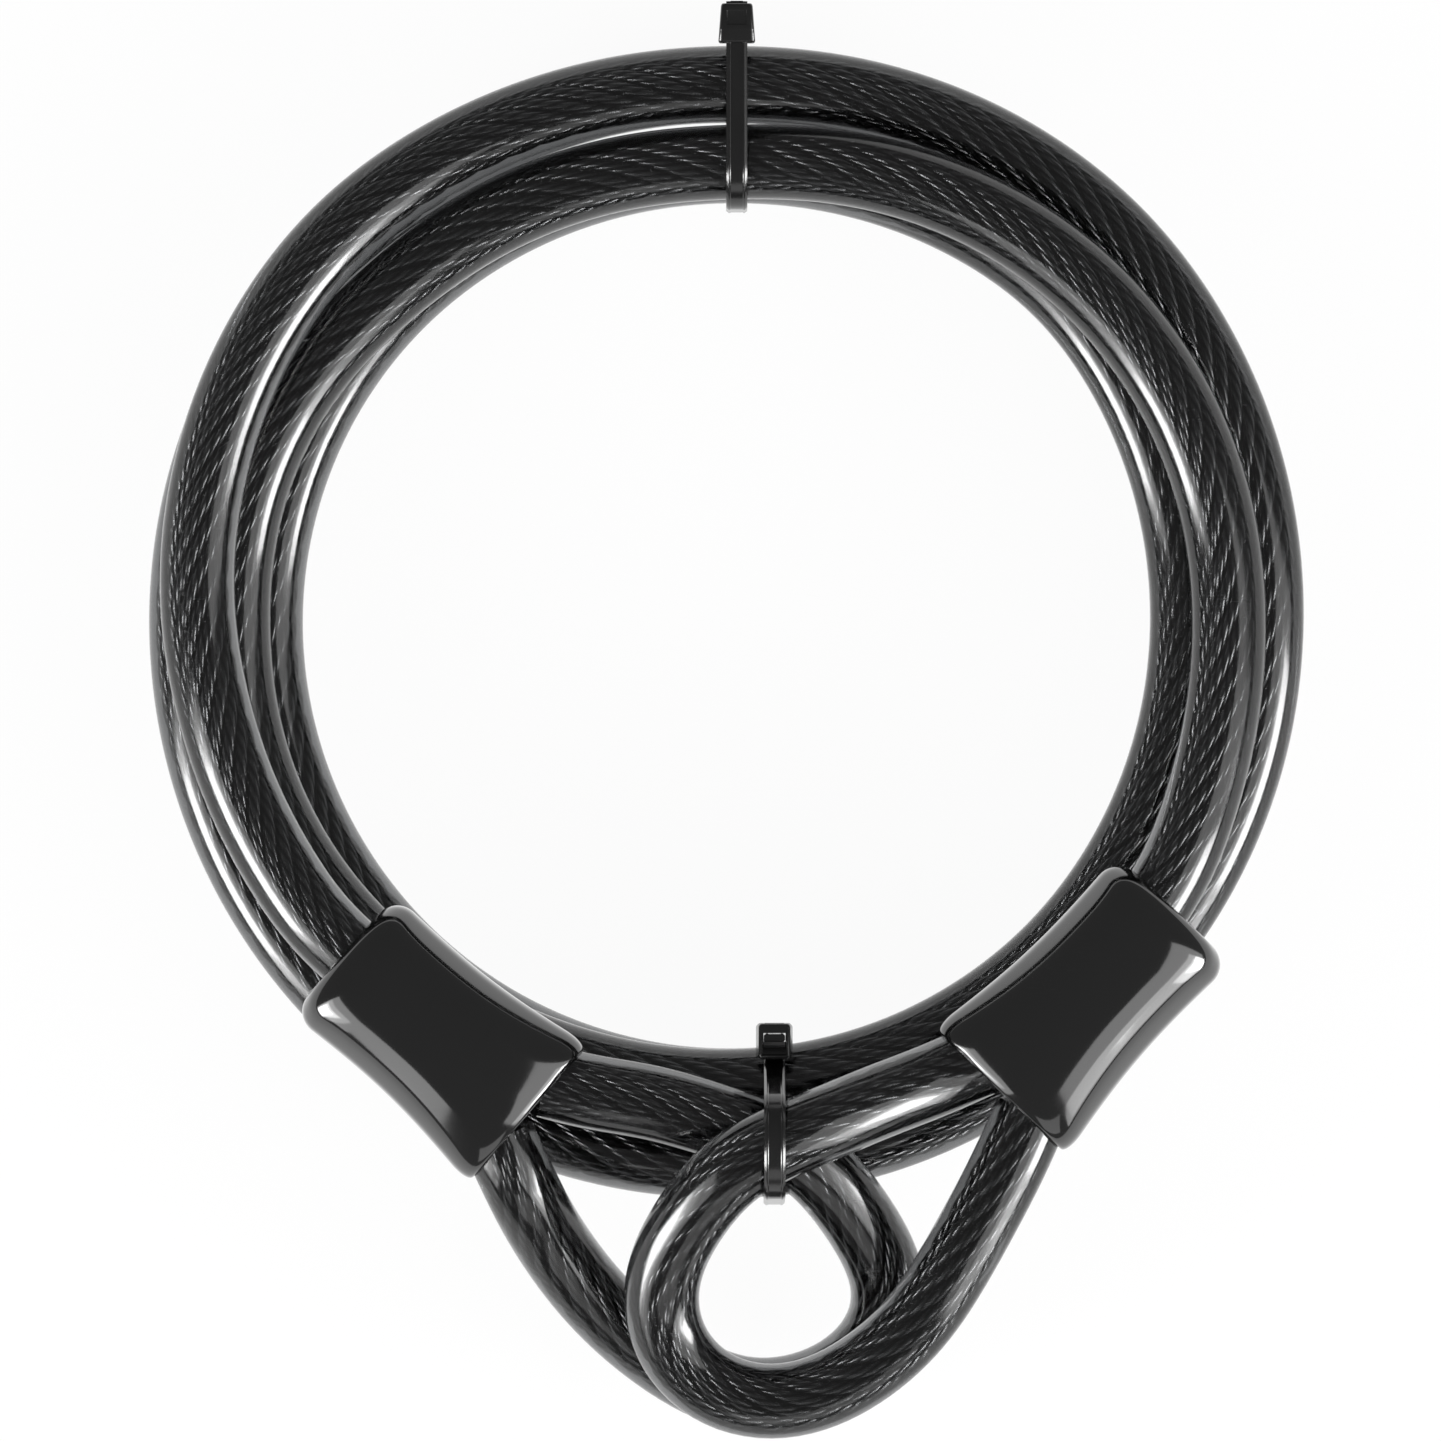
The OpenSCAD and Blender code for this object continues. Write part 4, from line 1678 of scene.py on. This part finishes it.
@dataclass
class TopTie(CableTie):
    """The tie at the top of the coil, whose head points outwards."""

    foot_rise: float = 0.3 * MM

    def slot_start(self) -> Pair:
        """The slot's start in the tie's plane, from the pawl's place."""
        low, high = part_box(self.name + "_pawl")
        return low.y - self.layout.coil_at[1] - self.pawl_hinge, high.z + self.pawl_clear

    def head_place(self) -> HeadPlace:
        """Where the head sits."""
        return HeadPlace(self.to_frame(*self.slot_start()), AWAY, UP)

    def strap_path(self) -> list[BeltPoint]:
        """The circles that the strap bends round: both inner lanes and both outer ones.

        Returns:
            The circles, with the strap's ends first and last.
        """
        lanes = self.crossings(self.layout.coil_route())
        radius = max(p.radius for p in lanes)
        outs, ups = [p.out for p in lanes], [p.up for p in lanes]
        out, up = self.slot_start()
        return [
            BeltPoint(out + self.head_length + self.stub, up),
            BeltPoint(min(outs), max(ups), radius),
            BeltPoint(min(outs), min(ups), radius),
            BeltPoint(max(outs), min(ups), radius),
            BeltPoint(max(outs) + radius, up - self.head_back + self.foot_rise),
        ]


@dataclass
class BottomTie(CableTie):
    """The tie at the bottom of the coil, which holds the right eye down. Its head points up."""

    foot_rise: float = 0.4 * MM

    def slot_start(self) -> Pair:
        """The slot's start in the tie's plane, from the pawl's place."""
        low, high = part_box(self.name + "_pawl")
        return (high.y + self.pawl_clear - self.layout.coil_at[1]) * self.side, low.z - self.pawl_hinge

    def head_place(self) -> HeadPlace:
        """Where the head sits."""
        return HeadPlace(self.to_frame(*self.slot_start()), UP, AWAY)

    def strap_path(self) -> list[BeltPoint]:
        """The circles that the strap bends round: two lanes of the coil, then the right eye.

        Returns:
            The circles, with the strap's ends first and last.
        """
        outer_lane, floor_lane = self.crossings(self.layout.coil_route())[:2]
        eye = self.crossings(self.layout.eye_route(End.RIGHT))[0]
        inner, up = self.slot_start()
        return [
            BeltPoint(inner, up + self.head_length + self.stub),
            BeltPoint(inner + floor_lane.radius, floor_lane.up, floor_lane.radius),
            outer_lane,
            eye,
            BeltPoint(inner + self.head_back + self.thick, up + self.foot_rise),
        ]


# -------- Studio --------


@dataclass(frozen=True)
class SoftBox:
    """A rectangular lamp that faces the coil: where it stands, its size and its radiance."""

    name: str
    azimuth: float
    elevation: float
    distance: float
    width: float
    height: float
    radiance: float

    def build(self, target: Vector) -> None:
        """Sets the lamp up so that it faces a target.

        Args:
            target: The target's place.
        """
        data = bpy.data.lights.new(self.name, "AREA")
        data.shape, data.size, data.size_y = "RECTANGLE", self.width, self.height
        data.energy = self.radiance * math.pi * self.width * self.height
        lamp = bpy.data.objects.new(self.name, data)
        a, e = math.radians(self.azimuth), math.radians(self.elevation)
        back = Vector((math.cos(a) * math.cos(e), math.sin(a) * math.cos(e), math.sin(e)))
        lamp.location = target + back * self.distance
        lamp.rotation_euler = (-back).to_track_quat("-Z", "Y").to_euler()
        lamp.visible_camera = False
        bpy.context.scene.collection.objects.link(lamp)


@dataclass
class Studio:
    """The camera, the white floor and the lamps."""

    camera_height: float = 2.5
    sensor: float = 36.0
    clip: Pair = (0.1, 50.0)
    frame_width: float = 0.2308
    frame_middle: Triple = (-0.00075, -0.0002, 0.02)
    floor_size: float = 14.0
    floor_level: float = -0.1 * MM
    paper: float = 0.86
    paper_share: float = 0.95
    world_light: float = 0.2
    lamps: tuple[SoftBox, ...] = (
        SoftBox("left_fill", 210, 30, 1.3, 0.9, 0.9, 2.3),
        SoftBox("left_mid", 206, 22, 1.25, 0.7, 0.72, 2.0),
        SoftBox("left_key", 205, 18, 1.2, 0.5, 0.56, 5.4),
        SoftBox("left_core", 204, 17, 1.15, 0.36, 0.4, 13.0),
        SoftBox("right_fill", -22, 36, 1.3, 1.2, 1.2, 1.9),
        SoftBox("right_mid", -28, 23, 1.25, 0.95, 0.74, 2.5),
        SoftBox("right_key", -26, 18, 1.2, 0.6, 0.54, 4.4),
        SoftBox("right_core", -19, 17, 1.15, 0.5, 0.4, 12.5),
        SoftBox("low_fill", -80, 26, 1.4, 0.9, 0.6, 0.9),
    )

    def build_camera(self) -> None:
        """Sets the camera straight above the coil with a long lens."""
        data = bpy.data.cameras.new("camera")
        x, y, level = self.frame_middle
        data.sensor_width = self.sensor
        data.lens = self.sensor * (self.camera_height - level) / self.frame_width
        data.clip_start, data.clip_end = self.clip
        camera = bpy.data.objects.new("camera", data)
        camera.location = (x, y, self.camera_height)
        bpy.context.scene.collection.objects.link(camera)
        bpy.context.scene.camera = camera

    def floor_finish(self) -> Material:
        """A white paper that shows the coil's shadow faintly to the camera and to gloss.

        Returns:
            The material.
        """
        material = bpy.data.materials.new("white_paper")
        material.use_nodes = True
        tree = material.node_tree
        tree.nodes.clear()
        paper = first(tree, "ShaderNodeBsdfDiffuse", {"Color": grey(self.paper)})
        glow = first(tree, "ShaderNodeEmission", {"Color": grey(1.0), "Strength": 1.0})
        rays = add(tree, "ShaderNodeLightPath").outputs
        seen = calc(tree, "MAXIMUM", rays["Is Camera Ray"], rays["Is Glossy Ray"])
        seen = calc(tree, "MAXIMUM", seen, rays["Is Transmission Ray"])
        share = calc(tree, "MULTIPLY", seen, self.paper_share)
        mixed = first(tree, "ShaderNodeMixShader", {0: share, 1: paper, 2: glow})
        add(tree, "ShaderNodeOutputMaterial", {"Surface": mixed})
        return material

    def build_floor(self) -> None:
        """Lays the floor just under the coil."""
        half, level = self.floor_size / 2, self.floor_level
        corners = [(x * half, y * half, level) for x, y in ((-1, -1), (1, -1), (1, 1), (-1, 1))]
        mesh = bpy.data.meshes.new("floor")
        mesh.from_pydata(corners, [], [(0, 1, 2, 3)])
        placed("floor", mesh, self.floor_finish())

    def build_world(self) -> None:
        """A dim even world, white to the camera."""
        world = bpy.data.worlds.new("studio")
        bpy.context.scene.world = world
        world.use_nodes = True
        tree = world.node_tree
        tree.nodes.clear()
        dim, white = (
            first(tree, "ShaderNodeBackground", {"Color": grey(1.0), "Strength": strength})
            for strength in (self.world_light, 1.0)
        )
        camera = add(tree, "ShaderNodeLightPath").outputs["Is Camera Ray"]
        mixed = first(tree, "ShaderNodeMixShader", {0: camera, 1: dim, 2: white})
        add(tree, "ShaderNodeOutputWorld", {"Surface": mixed})

    def build(self) -> None:
        """Builds the camera, the floor, the world and the lamps."""
        self.build_camera()
        self.build_floor()
        self.build_world()
        for lamp in self.lamps:
            lamp.build(Vector(self.frame_middle))
        bpy.context.scene.view_settings.view_transform = "Standard"


# -------- The whole object --------


def dress_nodes(finish: Material, *nodes: str) -> None:
    """Gives CAD nodes that stay in view their finish.

    Args:
        finish: The material.
        nodes: The nodes' names.
    """
    for node in nodes:
        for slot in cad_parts[node].material_slots:
            slot.material = finish


def report(piece: Piece) -> None:
    """Logs a finished piece's name and size."""
    LOG.info("%s: %d faces", piece.name, len(piece.data.polygons))


def main() -> None:
    """Builds the studio, the cable, the covers and the ties in order."""
    logging.basicConfig(level=logging.INFO, format="%(name)s %(message)s")
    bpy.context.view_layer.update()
    Studio().build()
    layout = CableLayout()
    for piece in Cable(layout).build(SmokedVinyl().make(), RopeSteel().make()):
        report(piece)
    gloss = GlossMoulding().make()
    for end in End:
        report(MouldedCover(layout, end).build(gloss))
    nylon = TieNylon().make()
    top = TopTie(layout, "top_tie", plane=1.4 * MM, side=1)
    bottom = BottomTie(layout, "bottom_tie", plane=7.4 * MM, side=-1)
    for tie in (top, bottom):
        for piece in tie.build(nylon):
            report(piece)
    dress_nodes(CrimpedAluminium().make(), "left_ferrule", "right_ferrule")
    # A lighter copy of the nylon paints light onto the pawls, which sit deep inside the heads
    lit_pawl_nylon = TieNylon(name="pawl_nylon", colour=grey(0.05)).make()
    dress_nodes(lit_pawl_nylon, "top_tie_pawl", "bottom_tie_pawl")


if __name__ == "__main__":
    main()
